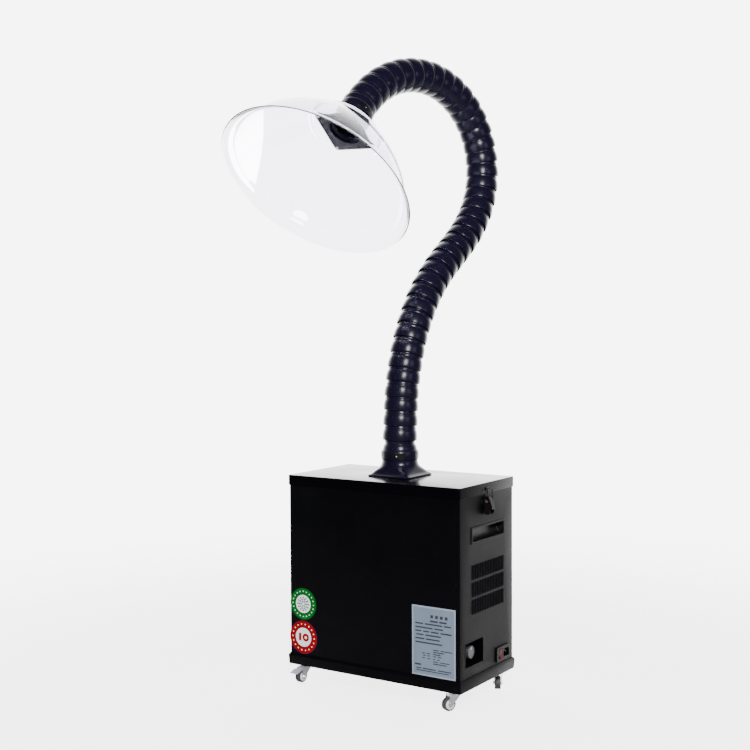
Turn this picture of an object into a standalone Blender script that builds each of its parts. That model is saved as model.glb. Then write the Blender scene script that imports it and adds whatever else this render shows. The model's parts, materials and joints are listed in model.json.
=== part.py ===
"""Solder fume extractor: a filter cabinet on castors with a self-supporting arm and a clear hood.

Metres, +Z up, -Y is the front, +X is the side with the controls. The model is built round the
middle of the cabinet with the floor at z = 0, and is moved at the end so that the origin is
the bottom centre of its bounding box.
"""

import math

import bmesh
import bpy
from mathutils import Matrix, Vector

# Driving dimensions
GAP = 0.0003  # between pieces that touch
SHEET = 0.0015  # cabinet sheet metal
CASTOR_HEIGHT = 0.040
TRAY_HEIGHT = 0.024
CABINET_TOP = 0.456
LID_WIDTH = 0.430
LID_DEPTH = 0.232
LID_FLANGE = 0.022
TRAY_OVERHANG = 0.0025  # past the lid on each side
GASKET = 0.0034
SIDE_CENTRE_Y = 0.004  # handles and louvres

# Worked out from them
BODY_WIDTH = LID_WIDTH - 2 * (SHEET + GAP)
BODY_DEPTH = LID_DEPTH - 2 * (SHEET + GAP)
BODY_BOTTOM = CASTOR_HEIGHT + SHEET + GAP
BODY_TOP = CABINET_TOP - SHEET - GASKET - 2 * GAP
WALL_X = BODY_WIDTH / 2  # outer face of the side walls
TRAY_WIDTH = LID_WIDTH + 2 * TRAY_OVERHANG
TRAY_DEPTH = LID_DEPTH + 2 * TRAY_OVERHANG

# Side openings: centre y, centre z, width, height
HANDLE_OPENING = (SIDE_CENTRE_Y, 0.353, 0.137, 0.029)
RECESS_OPENING = (-0.0545, 0.1115, 0.077, 0.053)
INLET_OPENING = (0.067, 0.0840, 0.052, 0.025)
ROCKER_TILT = 7.0  # degrees either way
LOUVRE_ROWS_Z = (0.2775, 0.2420, 0.2065)
LOUVRE_SLOTS = 16
LOUVRE_PITCH = 0.0086
LOUVRE_SLOT = (0.0056, 0.028)  # width, height

# Latches, measured outwards from the side wall and upwards from their pivot
LATCH_Y = -0.003
LATCH_PIVOT_OUT = 0.0060
LATCH_PIVOT_Z = 0.4240
LATCH_ROD = (0.0045, -0.0070)  # bail rod from the pivot: out, up
WIRE_RADIUS = 0.0009

# Castors
CASTOR_X = 0.189
CASTOR_Y = 0.093
CASTOR_TRAIL = 0.015
WHEEL_RADIUS = 0.014
WHEEL_WIDTH = 0.013
PEDAL_HINGE = (0.0185, 0.0305)  # from the swivel axis and the floor
# Name, side, front or back, heading of the trail in degrees from +X, with a brake
CASTORS = (
    ("castor_fl", -1, -1, -93.0, True),
    ("castor_fr", 1, -1, -116.0, False),
    ("castor_bl", -1, 1, -60.0, False),
    ("castor_br", 1, 1, -63.0, False),
)

# Arm: ball centres a pitch apart, with each segment's bell over the ball of the one below
ARM_PITCH = 0.0309
ARM_SEGMENTS = 39
ARM_SIDES = 12
ARM_START_Z = 0.536
FIRST_SECTION_SEGMENTS = 3
# Along the arm: joint number, lean towards the back, swing towards +X, both in degrees
ARM_BENDS = (
    (0, 0, 0),
    (5, 11, 3),
    (10, 32, 5),
    (14.5, 49, 8),
    (18, 37, 5),
    (23, -3, -4),
    (28, -51, -12),
    (32, -88, -15),
    (36, -119.5, -10.5),
    (40, -143, -2),
)
FLANGE_SIDE = 0.104
FLANGE_PLATE = 0.004
# Hood, measured from the last ball centre along the hood's axis
HOOD_PLATE_AT = 0.071
HOOD_HOLE_RADIUS = 0.0510
HOOD_BOSS = (0.0740, 0.066)  # radius and height of the flat crown that the plate bolts to
HOOD_BOSS_FOOT = (0.0815, 0.0755)
HOOD_DOME_TOP = 0.047  # where the dome would close if it had no crown
HOOD_CURVE = 1.5  # 1 is a cone and 2 is an ellipsoid
HOOD_SKIRT = (0.190, 0.210)
HOOD_RIM = (0.209, 0.226)
HOOD_WALL = 0.003


# ---------------------------------------------------------------- scene and materials


def clear_scene():
    for item in list(bpy.data.objects):
        bpy.data.objects.remove(item, do_unlink=True)


def new_collection(name):
    made = bpy.data.collections.new(name)
    bpy.context.scene.collection.children.link(made)
    return made


def material(name, colour, roughness, metallic=0.0, alpha=1.0):
    """One Principled material for each name."""
    found = bpy.data.materials.get(name)
    if found:
        return found
    made = bpy.data.materials.new(name)
    made.use_nodes = True
    shader = made.node_tree.nodes["Principled BSDF"]
    shader.inputs["Base Color"].default_value = (*colour, 1.0)
    shader.inputs["Roughness"].default_value = roughness
    shader.inputs["Metallic"].default_value = metallic
    shader.inputs["Alpha"].default_value = alpha
    return made


clear_scene()
PARTS = new_collection("solder_fume_extractor")
CUTTERS = new_collection("cutters")

BLACK_SHEET = material("black_sheet", (0.03, 0.03, 0.033), 0.45)
BLACK_PLASTIC = material("black_plastic", (0.015, 0.015, 0.018), 0.25)
DARK_METAL = material("dark_metal", (0.06, 0.055, 0.05), 0.4, 0.8)
ZINC = material("zinc", (0.72, 0.73, 0.75), 0.35, 1.0)
TYRE = material("tyre_rubber", (0.05, 0.05, 0.05), 0.7)
KNOB_GREY = material("knob_grey", (0.30, 0.30, 0.31), 0.35)
INLET_GREY = material("inlet_grey", (0.06, 0.06, 0.065), 0.4)
RED_PLASTIC = material("red_plastic", (0.55, 0.03, 0.03), 0.3)
ACRYLIC = material("clear_acrylic", (0.93, 0.93, 0.97), 0.05, 0.0, 0.25)
FOAM = material("grey_foam", (0.12, 0.12, 0.13), 0.95)
FILTER_WHITE = material("filter_white", (0.85, 0.85, 0.82), 0.9)
GALVANISED = material("galvanised", (0.6, 0.61, 0.62), 0.4, 1.0)
BOARD_GREEN = material("board_green", (0.03, 0.22, 0.10), 0.5)


# ---------------------------------------------------------------- making pieces


def add(name, mesh, finish, place=Matrix.Identity(4), collection=None):
    """An object for a mesh. Pieces have a finish; tools for Booleans have none and stay hidden."""
    made = bpy.data.objects.new(name, mesh)
    (collection or PARTS).objects.link(made)
    made.matrix_world = place
    if finish:
        mesh.materials.append(finish)
    return made


def add_tool(name, mesh, place=Matrix.Identity(4)):
    made = add(name, mesh, None, place, CUTTERS)
    made.hide_render = True
    made.display_type = "WIRE"
    return made


def mesh_of(name, build):
    """A mesh from a function that fills a bmesh, with its faces pointing out."""
    bm = bmesh.new()
    build(bm)
    bmesh.ops.recalc_face_normals(bm, faces=bm.faces)
    made = bpy.data.meshes.new(name)
    bm.to_mesh(made)
    bm.free()
    return made


def block(name, low, high):
    """A box mesh between two corners."""
    low, high = Vector(low), Vector(high)

    def build(bm):
        place = Matrix.Translation((low + high) / 2) @ Matrix.Diagonal((*(high - low), 1))
        bmesh.ops.create_cube(bm, size=1.0, matrix=place)

    return mesh_of(name, build)


def centred_block(name, centre, size):
    centre, size = Vector(centre), Vector(size)
    return block(name, centre - size / 2, centre + size / 2)


def cylinder(name, radius, low, high, axis="Z", sides=16):
    """A capped cylinder from low to high along an axis through the origin of its mesh."""
    turn = {"X": Matrix.Rotation(math.pi / 2, 4, "Y"), "Y": Matrix.Rotation(-math.pi / 2, 4, "X")}

    def build(bm):
        place = turn.get(axis, Matrix.Identity(4)) @ Matrix.Translation((0, 0, (low + high) / 2))
        bmesh.ops.create_cone(
            bm, cap_ends=True, segments=sides, radius1=radius, radius2=radius,
            depth=high - low, matrix=place,
        )

    return mesh_of(name, build)


def prism(name, outline, low, high):
    """An outline of (x, z) points extruded along Y from low to high."""

    def build(bm):
        face = bm.faces.new([bm.verts.new((x, low, z)) for x, z in outline])
        grown = bmesh.ops.extrude_face_region(bm, geom=[face])["geom"]
        moved = [v for v in grown if isinstance(v, bmesh.types.BMVert)]
        bmesh.ops.translate(bm, verts=moved, vec=(0, high - low, 0))

    return mesh_of(name, build)


def turned(name, profile, finish, sides, place=Matrix.Identity(4), tool=False):
    """A closed profile of (radius, z) points turned about Z with a Screw modifier."""
    made = bpy.data.meshes.new(name)
    count = len(profile)
    edges = [(i, (i + 1) % count) for i in range(count)]
    made.from_pydata([(r, 0, z) for r, z in profile], edges, [])
    item = add_tool(name, made, place) if tool else add(name, made, finish, place)
    screw = item.modifiers.new("turn", "SCREW")
    screw.steps = screw.render_steps = sides
    screw.use_merge_vertices = True
    screw.merge_threshold = 0.00001
    return item


def combine(target, tool, operation):
    step = target.modifiers.new(f"{operation.lower()}_{tool.name}"[:60], "BOOLEAN")
    step.operation = operation
    step.object = tool
    step.solver = "EXACT"


def cut(target, name, mesh, place=Matrix.Identity(4)):
    combine(target, add_tool(name, mesh, place), "DIFFERENCE")


def join(target, name, mesh, place=Matrix.Identity(4)):
    combine(target, add_tool(name, mesh, place), "UNION")


def mirror_x(side):
    """Identity for the right side, a half turn about Z for the left one."""
    return Matrix.Identity(4) if side > 0 else Matrix.Rotation(math.pi, 4, "Z")


# ---------------------------------------------------------------- cabinet


def side_opening(centre_y, centre_z, width, height):
    """A cutter through the right wall only."""
    return centred_block("opening", (WALL_X, centre_y, centre_z), (0.02, width, height))


def louvre_slots():
    """All louvre slots as one cutter mesh of separate boxes."""

    def build(bm):
        width, height = LOUVRE_SLOT
        for z in LOUVRE_ROWS_Z:
            for i in range(LOUVRE_SLOTS):
                y = SIDE_CENTRE_Y + (i - (LOUVRE_SLOTS - 1) / 2) * LOUVRE_PITCH
                place = Matrix.Translation((WALL_X, y, z)) @ Matrix.Diagonal((0.02, width, height, 1))
                bmesh.ops.create_cube(bm, size=1.0, matrix=place)

    return mesh_of("louvres", build)


def make_cabinet_body():
    """Four walls with a folded-in top edge that carries the lid gasket."""
    half = (BODY_WIDTH / 2, BODY_DEPTH / 2)
    body = add(
        "cabinet_body",
        block("cabinet_body", (-half[0], -half[1], BODY_BOTTOM), (half[0], half[1], BODY_TOP)),
        BLACK_SHEET,
    )
    inner = (half[0] - SHEET, half[1] - SHEET)
    cut(body, "inside", block("inside", (-inner[0], -inner[1], 0), (*inner, BODY_TOP - SHEET)))
    ledge = 0.014
    mouth = (inner[0] - ledge, inner[1] - ledge)
    cut(body, "mouth", block("mouth", (-mouth[0], -mouth[1], 0.2), (*mouth, 0.6)))
    for name, opening in (
        ("handle", HANDLE_OPENING), ("recess", RECESS_OPENING), ("inlet", INLET_OPENING)
    ):
        cut(body, f"{name}_opening", side_opening(*opening))
    cut(body, "left_handle_opening", side_opening(*HANDLE_OPENING), left_side(HANDLE_OPENING[0]))
    cut(body, "louvre_slots", louvre_slots())


def left_side(centre_y):
    """Takes a piece of the right side to the same height and depth on the left side."""
    return Matrix.Translation((0, 2 * centre_y, 0)) @ mirror_x(-1)


def make_base_tray():
    half = (TRAY_WIDTH / 2, TRAY_DEPTH / 2)
    top = CASTOR_HEIGHT + TRAY_HEIGHT
    tray = add(
        "base_tray",
        block("base_tray", (-half[0], -half[1], CASTOR_HEIGHT), (*half, top)),
        BLACK_SHEET,
    )
    rim = 0.0025
    cut(
        tray,
        "tray_inside",
        block(
            "tray_inside",
            (rim - half[0], rim - half[1], CASTOR_HEIGHT + SHEET),
            (half[0] - rim, half[1] - rim, top + 0.01),
        ),
    )


def make_top_lid():
    half = (LID_WIDTH / 2, LID_DEPTH / 2)
    low = CABINET_TOP - LID_FLANGE
    lid = add("top_lid", block("top_lid", (-half[0], -half[1], low), (*half, CABINET_TOP)), BLACK_SHEET)
    inside = block(
        "lid_inside",
        (SHEET - half[0], SHEET - half[1], low - 0.01),
        (half[0] - SHEET, half[1] - SHEET, CABINET_TOP - SHEET),
    )
    cut(lid, "lid_inside", inside)
    cut(lid, "duct_hole", cylinder("duct_hole", 0.030, CABINET_TOP - 0.01, CABINET_TOP + 0.01))


def make_lid_gasket():
    outer = (BODY_WIDTH / 2 - 0.003, BODY_DEPTH / 2 - 0.003)
    band = 0.012
    low = BODY_TOP + GAP
    gasket = add(
        "lid_gasket", block("lid_gasket", (-outer[0], -outer[1], low), (*outer, low + GASKET)), FOAM
    )
    inner = (outer[0] - band, outer[1] - band)
    cut(gasket, "gasket_inside", block("gasket_inside", (-inner[0], -inner[1], 0.3), (*inner, 0.6)))


def make_handle_cup(name, side):
    """A recessed carrying handle: a thin frame outside the wall and a scooped cup behind it."""
    y, z, width, height = HANDLE_OPENING
    frame, depth, wall = 0.003, 0.021, 0.0015
    place = Matrix.Identity(4) if side > 0 else left_side(y)
    face = WALL_X + GAP
    cup = add(
        name,
        centred_block(name, (face + 0.0006, y, z), (0.0012, width + 2 * frame, height + 2 * frame)),
        BLACK_SHEET,
        place,
    )
    slack = 2 * GAP
    back = (WALL_X - depth / 2 + 0.0003, y, z)
    size = (depth + 0.0006, width - slack, height - slack)
    join(cup, f"{name}_shell", centred_block("shell", back, size), place)
    bottom, top = z - height / 2 + wall, z + height / 2 - wall
    scoop = [
        (WALL_X + 0.01, bottom), (WALL_X + 0.01, top), (WALL_X - depth + wall, top),
        (WALL_X - depth + wall, top - 0.008), (WALL_X - depth * 0.6, bottom + 0.003), (WALL_X, bottom),
    ]
    half = width / 2 - wall
    cut(cup, f"{name}_scoop", prism("scoop", scoop, y - half, y + half), place)


# ---------------------------------------------------------------- latches


def wire_loop(name, points, radius, finish, place):
    """A closed wire through points, as a mesh."""
    curve = bpy.data.curves.new(name, "CURVE")
    curve.dimensions = "3D"
    curve.bevel_depth = radius
    curve.bevel_resolution = 1
    spline = curve.splines.new("POLY")
    spline.points.add(len(points) - 1)
    for slot, point in zip(spline.points, points):
        slot.co = (*point, 1)
    spline.use_cyclic_u = True
    source = bpy.data.objects.new(name + "_path", curve)
    PARTS.objects.link(source)
    shape = source.evaluated_get(bpy.context.evaluated_depsgraph_get())
    mesh = bpy.data.meshes.new_from_object(shape)
    bpy.data.objects.remove(source, do_unlink=True)
    mesh.name = name
    mesh.materials.clear()
    return add(name, mesh, finish, place)


def make_latch(word, side):
    """Base plate with ears, lever, wire bail and the keeper on the lid, built from the lever's pivot."""
    centre = Matrix.Translation((WALL_X + LATCH_PIVOT_OUT, LATCH_Y, LATCH_PIVOT_Z))
    place = (Matrix.Identity(4) if side > 0 else left_side(LATCH_Y)) @ centre
    wall = GAP - LATCH_PIVOT_OUT
    half_lever, ear_in, ear_out = 0.0064, 0.0070, 0.0082
    plate = block("base", (wall, -ear_out, -0.0240), (wall + 0.0013, ear_out, 0.0075))
    base = add(f"latch_{word}_base", plate, DARK_METAL, place)
    for way in (-1, 1):
        ends = sorted((way * ear_in, way * ear_out))
        ear = block("ear", (wall + 0.001, ends[0], -0.0035), (0.0032, ends[1], 0.0035))
        join(base, f"latch_{word}_ear_{way}", ear, place)
    join(base, f"latch_{word}_pin", cylinder("pin", 0.0012, -0.0076, 0.0076, "Y", 10), place)

    outline = [
        (-0.0024, 0.0033), (0.0024, 0.0033), (0.0062, -0.0040), (0.0110, -0.0180), (0.0112, -0.0230),
        (0.0084, -0.0230), (0.0026, -0.0100), (-0.0012, -0.0035), (-0.0028, -0.0028),
    ]
    lever = add(f"latch_{word}_lever", prism("lever", outline, -half_lever, half_lever), DARK_METAL, place)
    rod = Matrix.Translation((LATCH_ROD[0], 0, LATCH_ROD[1]))
    cut(lever, f"latch_{word}_pin_hole", cylinder("pin_hole", 0.0017, -0.01, 0.01, "Y", 10), place)
    rod_hole = cylinder("rod_hole", WIRE_RADIUS + 0.0005, -0.01, 0.01, "Y", 10)
    cut(lever, f"latch_{word}_rod_hole", rod_hole, place @ rod)

    face = LID_WIDTH / 2 + GAP - WALL_X - LATCH_PIVOT_OUT
    up = CABINET_TOP - 0.0135 - LATCH_PIVOT_Z
    leg, rise, out = 0.0096, up - LATCH_ROD[1], face + 0.0058 - LATCH_ROD[0]
    points = [(0, -leg, 0), (0, leg, 0), (out, leg, rise), (out, -leg, rise)]
    wire_loop(f"latch_{word}_bail", points, WIRE_RADIUS, ZINC, place @ rod)

    catch = block("keeper", (face, -0.0070, up - 0.0040), (face + 0.0012, 0.0070, up + 0.0050))
    keeper = add(f"latch_{word}_keeper", catch, DARK_METAL, place)
    hook = block("hook", (face + 0.001, -0.0050, up - 0.0008), (face + 0.0044, 0.0050, up + 0.0012))
    join(keeper, f"latch_{word}_hook", hook, place)


# ---------------------------------------------------------------- controls


def make_speed_control():
    """A black box let into the side with the speed knob on its back wall."""
    y, z, width, height = RECESS_OPENING
    depth, wall, slack = 0.030, 0.0015, 2 * GAP
    box = add(
        "speed_recess_box",
        block(
            "speed_recess_box",
            (WALL_X - depth, y - width / 2 + GAP, z - height / 2 + GAP),
            (WALL_X + 0.0004, y + width / 2 - GAP, z + height / 2 - GAP),
        ),
        BLACK_PLASTIC,
    )
    hollow = (width - slack - 2 * wall, height - slack - 2 * wall)
    cut(
        box,
        "recess_hollow",
        block(
            "recess_hollow",
            (WALL_X - depth + wall, y - hollow[0] / 2, z - hollow[1] / 2),
            (WALL_X + 0.01, y + hollow[0] / 2, z + hollow[1] / 2),
        ),
    )
    place = Matrix.Translation((WALL_X - depth, y, z))
    cut(box, "shaft_hole", cylinder("shaft_hole", 0.0036, -0.01, 0.01, "X"), place)
    knob = add("speed_knob", cylinder("speed_knob", 0.013, 0.0045, 0.019, "X", 24), KNOB_GREY, place)
    join(knob, "knob_shaft", cylinder("knob_shaft", 0.003, -0.008, 0.006, "X", 12), place)


def make_power_inlet():
    """Mains inlet and rocker switch in one module."""
    y, z, width, height = INLET_OPENING
    bezel = (0.003, 0.058, 0.031)
    face = WALL_X + GAP
    inlet = add("power_inlet", centred_block("power_inlet", (face + bezel[0] / 2, y, z), bezel), INLET_GREY)
    body = (0.030, width - 2 * GAP, height - 2 * GAP)
    join(inlet, "inlet_body", centred_block("inlet_body", (face - body[0] / 2 + 0.001, y, z), body))
    front = face + bezel[0]
    switch_y, socket_y = y - 0.0115, y + 0.0125
    cut(inlet, "switch_pocket", centred_block("pocket", (front, switch_y, z), (0.020, 0.0134, 0.0214)))
    cut(inlet, "socket_pocket", centred_block("pocket", (front, socket_y, z), (0.032, 0.0244, 0.0172)))
    outline = [
        (-0.0065, -0.0045), (0.0012, -0.0098), (0.0030, -0.0098), (0.0010, 0.0),
        (0.0030, 0.0098), (0.0012, 0.0098), (-0.0065, 0.0045),
    ]
    tilt = Matrix.Rotation(math.radians(-ROCKER_TILT), 4, "Y")
    place = Matrix.Translation((front - 0.0012, switch_y, z)) @ tilt
    add("rocker_switch", prism("rocker_switch", outline, -0.0062, 0.0062), RED_PLASTIC, place)


# ---------------------------------------------------------------- inside the cabinet


def make_filters():
    shelf_z = 0.298
    inner = (BODY_WIDTH / 2 - SHEET - GAP, BODY_DEPTH / 2 - SHEET - GAP)
    low, high = (-inner[0], -inner[1], shelf_z - 0.016), (*inner, shelf_z)
    shelf = add("filter_shelf", block("filter_shelf", low, high), GALVANISED)
    wall = 0.0015
    cut(
        shelf,
        "shelf_inside",
        block(
            "shelf_inside",
            (low[0] + wall, low[1] + wall, low[2] - 0.01),
            (high[0] - wall, high[1] - wall, high[2] - wall),
        ),
    )
    cut(shelf, "shelf_hole", cylinder("shelf_hole", 0.050, 0.2, 0.4))
    half = (0.184, 0.107)
    rise = shelf_z + GAP
    for name, height, finish in (("main_filter", 0.076, FILTER_WHITE), ("pre_filter", 0.018, FOAM)):
        piece = add(name, block(name, (-half[0], -half[1], rise), (*half, rise + height)), finish)
        if name == "main_filter":
            rim, top = 0.008, rise + height
            reach = (half[0] - rim, half[1] - rim)
            pocket = block("pocket", (-reach[0], -reach[1], top - 0.004), (reach[0], reach[1], top + 0.01))
            cut(piece, "filter_pocket", pocket)
        rise += height + GAP


def make_blower():
    """Drum housing with a duct to the louvres, an impeller on its shaft, and the motor below."""
    low, high, radius, wall = 0.152, 0.250, 0.086, 0.002
    drum = [
        (0.045, high), (radius, high), (radius, low), (0.012, low),
        (0.012, low + wall), (radius - wall, low + wall),
        (radius - wall, high - wall), (0.045, high - wall),
    ]
    housing = turned("blower_housing", drum, GALVANISED, 24)
    duct_low, duct_high = (0.0765, -0.034, 0.176), (0.206, 0.034, 0.244)
    join(housing, "duct", block("duct", duct_low, duct_high))
    cut(
        housing,
        "duct_way",
        block(
            "duct_way",
            (0.0, duct_low[1] + wall, duct_low[2] + wall),
            (0.22, duct_high[1] - wall, duct_high[2] - wall),
        ),
    )
    tip, root, blades = 0.074, 0.056, 10
    plate_z = low + 0.008
    wheel = [
        (0.003, plate_z + 0.020), (0.010, plate_z + 0.020),
        (0.010, plate_z + 0.002), (tip, plate_z + 0.002),
        (tip, plate_z), (0.003, plate_z),
    ]
    impeller = turned("blower_impeller", wheel, BLACK_PLASTIC, 20)
    join(impeller, "impeller_shaft", cylinder("impeller_shaft", 0.005, 0.142, plate_z + 0.022, sides=12))

    def blade_ring(bm):
        for i in range(blades):
            place = (
                Matrix.Rotation(2 * math.pi * i / blades, 4, "Z")
                @ Matrix.Translation(((tip + root) / 2, 0, plate_z + 0.032))
                @ Matrix.Rotation(math.radians(25), 4, "Z")
                @ Matrix.Diagonal((tip - root - 0.003, 0.002, 0.062, 1))
            )
            bmesh.ops.create_cube(bm, size=1.0, matrix=place)

    join(impeller, "impeller_blades", mesh_of("blades", blade_ring))
    floor = CASTOR_HEIGHT + SHEET + GAP
    motor = [
        (0.006, 0.150), (0.030, 0.150), (0.046, 0.138), (0.046, 0.070), (0.040, 0.062),
        (0.050, 0.056), (0.050, floor), (0.0, floor), (0.0, 0.140), (0.006, 0.140),
    ]
    turned("blower_motor", motor, DARK_METAL, 16)


def make_control_board():
    y, z = RECESS_OPENING[:2]
    x = 0.166
    blank = centred_block("control_board", (x, y, z), (0.0016, 0.080, 0.050))
    board = add("control_board", blank, BOARD_GREEN)
    for name, offset, size in (
        ("relay", (0, -0.020, 0.010), (0.016, 0.019, 0.015)),
        ("capacitor", (0, 0.012, -0.008), (0.020, 0.012, 0.012)),
        ("heatsink", (0, 0.028, 0.008), (0.018, 0.008, 0.024)),
    ):
        centre = (x - size[0] / 2, y + offset[1], z + offset[2])
        join(board, name, centred_block(name, centre, size))


# ---------------------------------------------------------------- castors


def make_castor(name, side, end, heading, braked):
    """Plate with kingpin, swivelling fork with its axle, and wheel, about a pivot at z = 0."""
    pivot = Matrix.Translation((side * CASTOR_X, end * CASTOR_Y, 0))
    swivel = pivot @ Matrix.Rotation(math.radians(heading), 4, "Z")
    top = CASTOR_HEIGHT - GAP
    half = 0.015
    plate = add(f"{name}_plate", block("plate", (-half, -half, top - 0.002), (half, half, top)), ZINC, pivot)
    pin = [
        (0.0, top - 0.001), (0.010, top - 0.001), (0.010, top - 0.0045), (0.0022, top - 0.0045),
        (0.0022, top - 0.0078), (0.0038, top - 0.0078), (0.0038, top - 0.0092), (0.0, top - 0.0092),
    ]
    combine(plate, turned(f"{name}_kingpin", pin, None, 12, pivot, tool=True), "UNION")

    deck_top, deck_low = top - 0.0049, top - 0.0066
    fork = add(f"{name}_fork", cylinder("deck", 0.0105, deck_low, deck_top, sides=16), ZINC, swivel)
    inner, outer = WHEEL_WIDTH / 2 + 0.0008, WHEEL_WIDTH / 2 + 0.0020
    reach = PEDAL_HINGE[0] + 0.002 if braked else 0.0165
    leg = [
        (-0.0090, deck_top), (-0.0090, deck_low - 0.002), (CASTOR_TRAIL - 0.0055, WHEEL_RADIUS - 0.001),
        (CASTOR_TRAIL - 0.0030, WHEEL_RADIUS - 0.0048), (CASTOR_TRAIL + 0.0030, WHEEL_RADIUS - 0.0048),
        (CASTOR_TRAIL + 0.0050, WHEEL_RADIUS), (reach, deck_low - 0.003), (reach, deck_top - 0.001),
    ]
    for way, word in ((-1, "left"), (1, "right")):
        ends = sorted((way * inner, way * outer))
        join(fork, f"{name}_{word}_leg", prism("leg", leg, *ends), swivel)
    deck = block("bridge", (-0.0090, -outer, deck_low), (0.0100, outer, deck_top))
    join(fork, f"{name}_bridge", deck, swivel)
    hub = swivel @ Matrix.Translation((CASTOR_TRAIL, 0, WHEEL_RADIUS))
    join(fork, f"{name}_axle", cylinder("axle", 0.0022, -outer - 0.0008, outer + 0.0008, "Y", 10), hub)
    cut(fork, f"{name}_king_hole", cylinder("king_hole", 0.0027, 0.02, 0.05, sides=12), swivel)

    tread, width = WHEEL_RADIUS, WHEEL_WIDTH / 2
    wheel = [
        (0.0027, width), (tread - 0.0040, width - 0.0010), (tread - 0.0015, width), (tread, width - 0.0018),
        (tread, 0.0018 - width), (tread - 0.0015, -width),
        (tread - 0.0040, 0.0010 - width), (0.0027, -width),
    ]
    turned(f"{name}_wheel", wheel, TYRE, 20, hub @ Matrix.Rotation(math.pi / 2, 4, "X"))
    return swivel


def make_brake_pedal(swivel):
    """A sloping pedal over the front left wheel, hinged between the fork's legs."""
    hinge = swivel @ Matrix.Translation((PEDAL_HINGE[0], 0, PEDAL_HINGE[1]))
    outline = [
        (-0.0015, 0.0016), (0.0030, 0.0022), (0.0230, -0.0050),
        (0.0224, -0.0066), (0.0020, -0.0006), (-0.0015, -0.0014),
    ]
    pedal = add("castor_fl_pedal", prism("pedal", outline, -0.0066, 0.0066), ZINC, hinge)
    wide = [(0.0080, 0.0004), (0.0230, -0.0050), (0.0224, -0.0066), (0.0074, -0.0013)]
    join(pedal, "pedal_pad", prism("pedal_pad", wide, -0.0100, 0.0100), hinge)


# ---------------------------------------------------------------- arm


def bend_at(position):
    """Lean and swing at a place along the arm, smooth through the bends in ARM_BENDS."""
    count = len(ARM_BENDS)
    i = max(k for k in range(count - 1) if ARM_BENDS[k][0] <= position)

    def slope(k, item):
        before, after = ARM_BENDS[max(k - 1, 0)], ARM_BENDS[min(k + 1, count - 1)]
        return (after[item] - before[item]) / (after[0] - before[0])

    low, high = ARM_BENDS[i], ARM_BENDS[i + 1]
    span = high[0] - low[0]
    t = (position - low[0]) / span
    found = []
    for item in (1, 2):
        a, b = slope(i, item) * span, slope(i + 1, item) * span
        found.append(
            (2 * t**3 - 3 * t**2 + 1) * low[item] + (t**3 - 2 * t**2 + t) * a
            + (3 * t**2 - 2 * t**3) * high[item] + (t**3 - t**2) * b
        )
    return [math.radians(angle) for angle in found]


def direction_at(position):
    lean, swing = bend_at(position)
    return Vector((math.sin(swing), math.sin(lean) * math.cos(swing), math.cos(lean) * math.cos(swing)))


def frame_at(origin, direction):
    """A placement with Z along a direction and X as near the cabinet's X as it can be."""
    side = (Vector((1, 0, 0)) - direction.x * direction).normalized()
    across = direction.cross(side)
    turn = Matrix((side, across, direction)).transposed().to_4x4()
    return Matrix.Translation(origin) @ turn


DIRECTIONS = [direction_at(k + 0.5) for k in range(ARM_SEGMENTS + 1)]
BALLS = [Vector((0, 0, ARM_START_Z))]
for way in DIRECTIONS[:ARM_SEGMENTS]:
    BALLS.append(BALLS[-1] + ARM_PITCH * way)

# Rings of a segment as (distance past the ball centre, radius)
BELL_OUTSIDE = ((-0.0030, 0.0350), (0.0030, 0.0370))
SHOULDER = ((-0.0209, 0.0360), (-0.0129, 0.0268))
BALL_OUTSIDE = ((0.0, 0.0300), (0.0052, 0.0295))
BALL_INSIDE = ((0.0052, 0.0265), (-0.0145, 0.0236))
BELL_INSIDE = ((0.0175, 0.0236), (0.0130, 0.0299), (0.0, 0.0326), (-0.0030, 0.0325))
NOTCH = ((-0.0028, 0.0335), (-0.0012, 0.0368))


def section_rings(first, last):
    """Rings of a section from its bell up the outside, and down its bore."""
    low, high = DIRECTIONS[first], DIRECTIONS[last]
    bottom, top = BALLS[first], BALLS[last + 1]
    rings = [(bottom + low * d, low, r) for d, r in BELL_OUTSIDE]
    for k in range(first + 1, last + 1):
        middle = (DIRECTIONS[k - 1] + DIRECTIONS[k]).normalized()
        rings += [(BALLS[k] + middle * d, middle, r) for d, r in NOTCH]
    rings += [(top + high * d, high, r) for d, r in SHOULDER + BALL_OUTSIDE + BALL_INSIDE]
    rings += [(bottom + low * d, low, r) for d, r in BELL_INSIDE]
    return rings


def loft(name, rings, origin, sides):
    """A closed skin over rings whose last one joins the first."""

    def build(bm):
        rows = []
        for centre, direction, radius in rings:
            place = frame_at(centre - origin, direction)
            turns = [2 * math.pi * i / sides for i in range(sides)]
            circle = [Vector((radius * math.cos(a), radius * math.sin(a), 0)) for a in turns]
            rows.append([bm.verts.new(place @ point) for point in circle])
        for row, following in zip(rows, rows[1:] + rows[:1]):
            for i in range(sides):
                j = (i + 1) % sides
                bm.faces.new((row[i], row[j], following[j], following[i]))

    return mesh_of(name, build)


def make_arm():
    first, number = 0, 1
    while first < ARM_SEGMENTS:
        last = first + (FIRST_SECTION_SEGMENTS if first == 0 else 2) - 1
        name = f"arm_section_{number:02d}"
        mesh = loft(name, section_rings(first, last), BALLS[first], ARM_SIDES)
        add(name, mesh, BLACK_PLASTIC, Matrix.Translation(BALLS[first]))
        first, number = last + 1, number + 1


def square_plate(name, at):
    half = FLANGE_SIDE / 2
    return block(name, (-half, -half, at), (half, half, at + FLANGE_PLATE))


def screw_holes(target, name, at, place):
    """Four corner holes through a square plate."""
    reach = (FLANGE_SIDE / 2 - 0.009) * math.sqrt(2)
    for i in range(4):
        angle = math.pi / 4 + i * math.pi / 2
        corner = Matrix.Translation((reach * math.cos(angle), reach * math.sin(angle), at))
        cut(target, f"{name}_hole_{i + 1}", cylinder("hole", 0.0023, -0.01, 0.014, sides=8), place @ corner)


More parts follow.
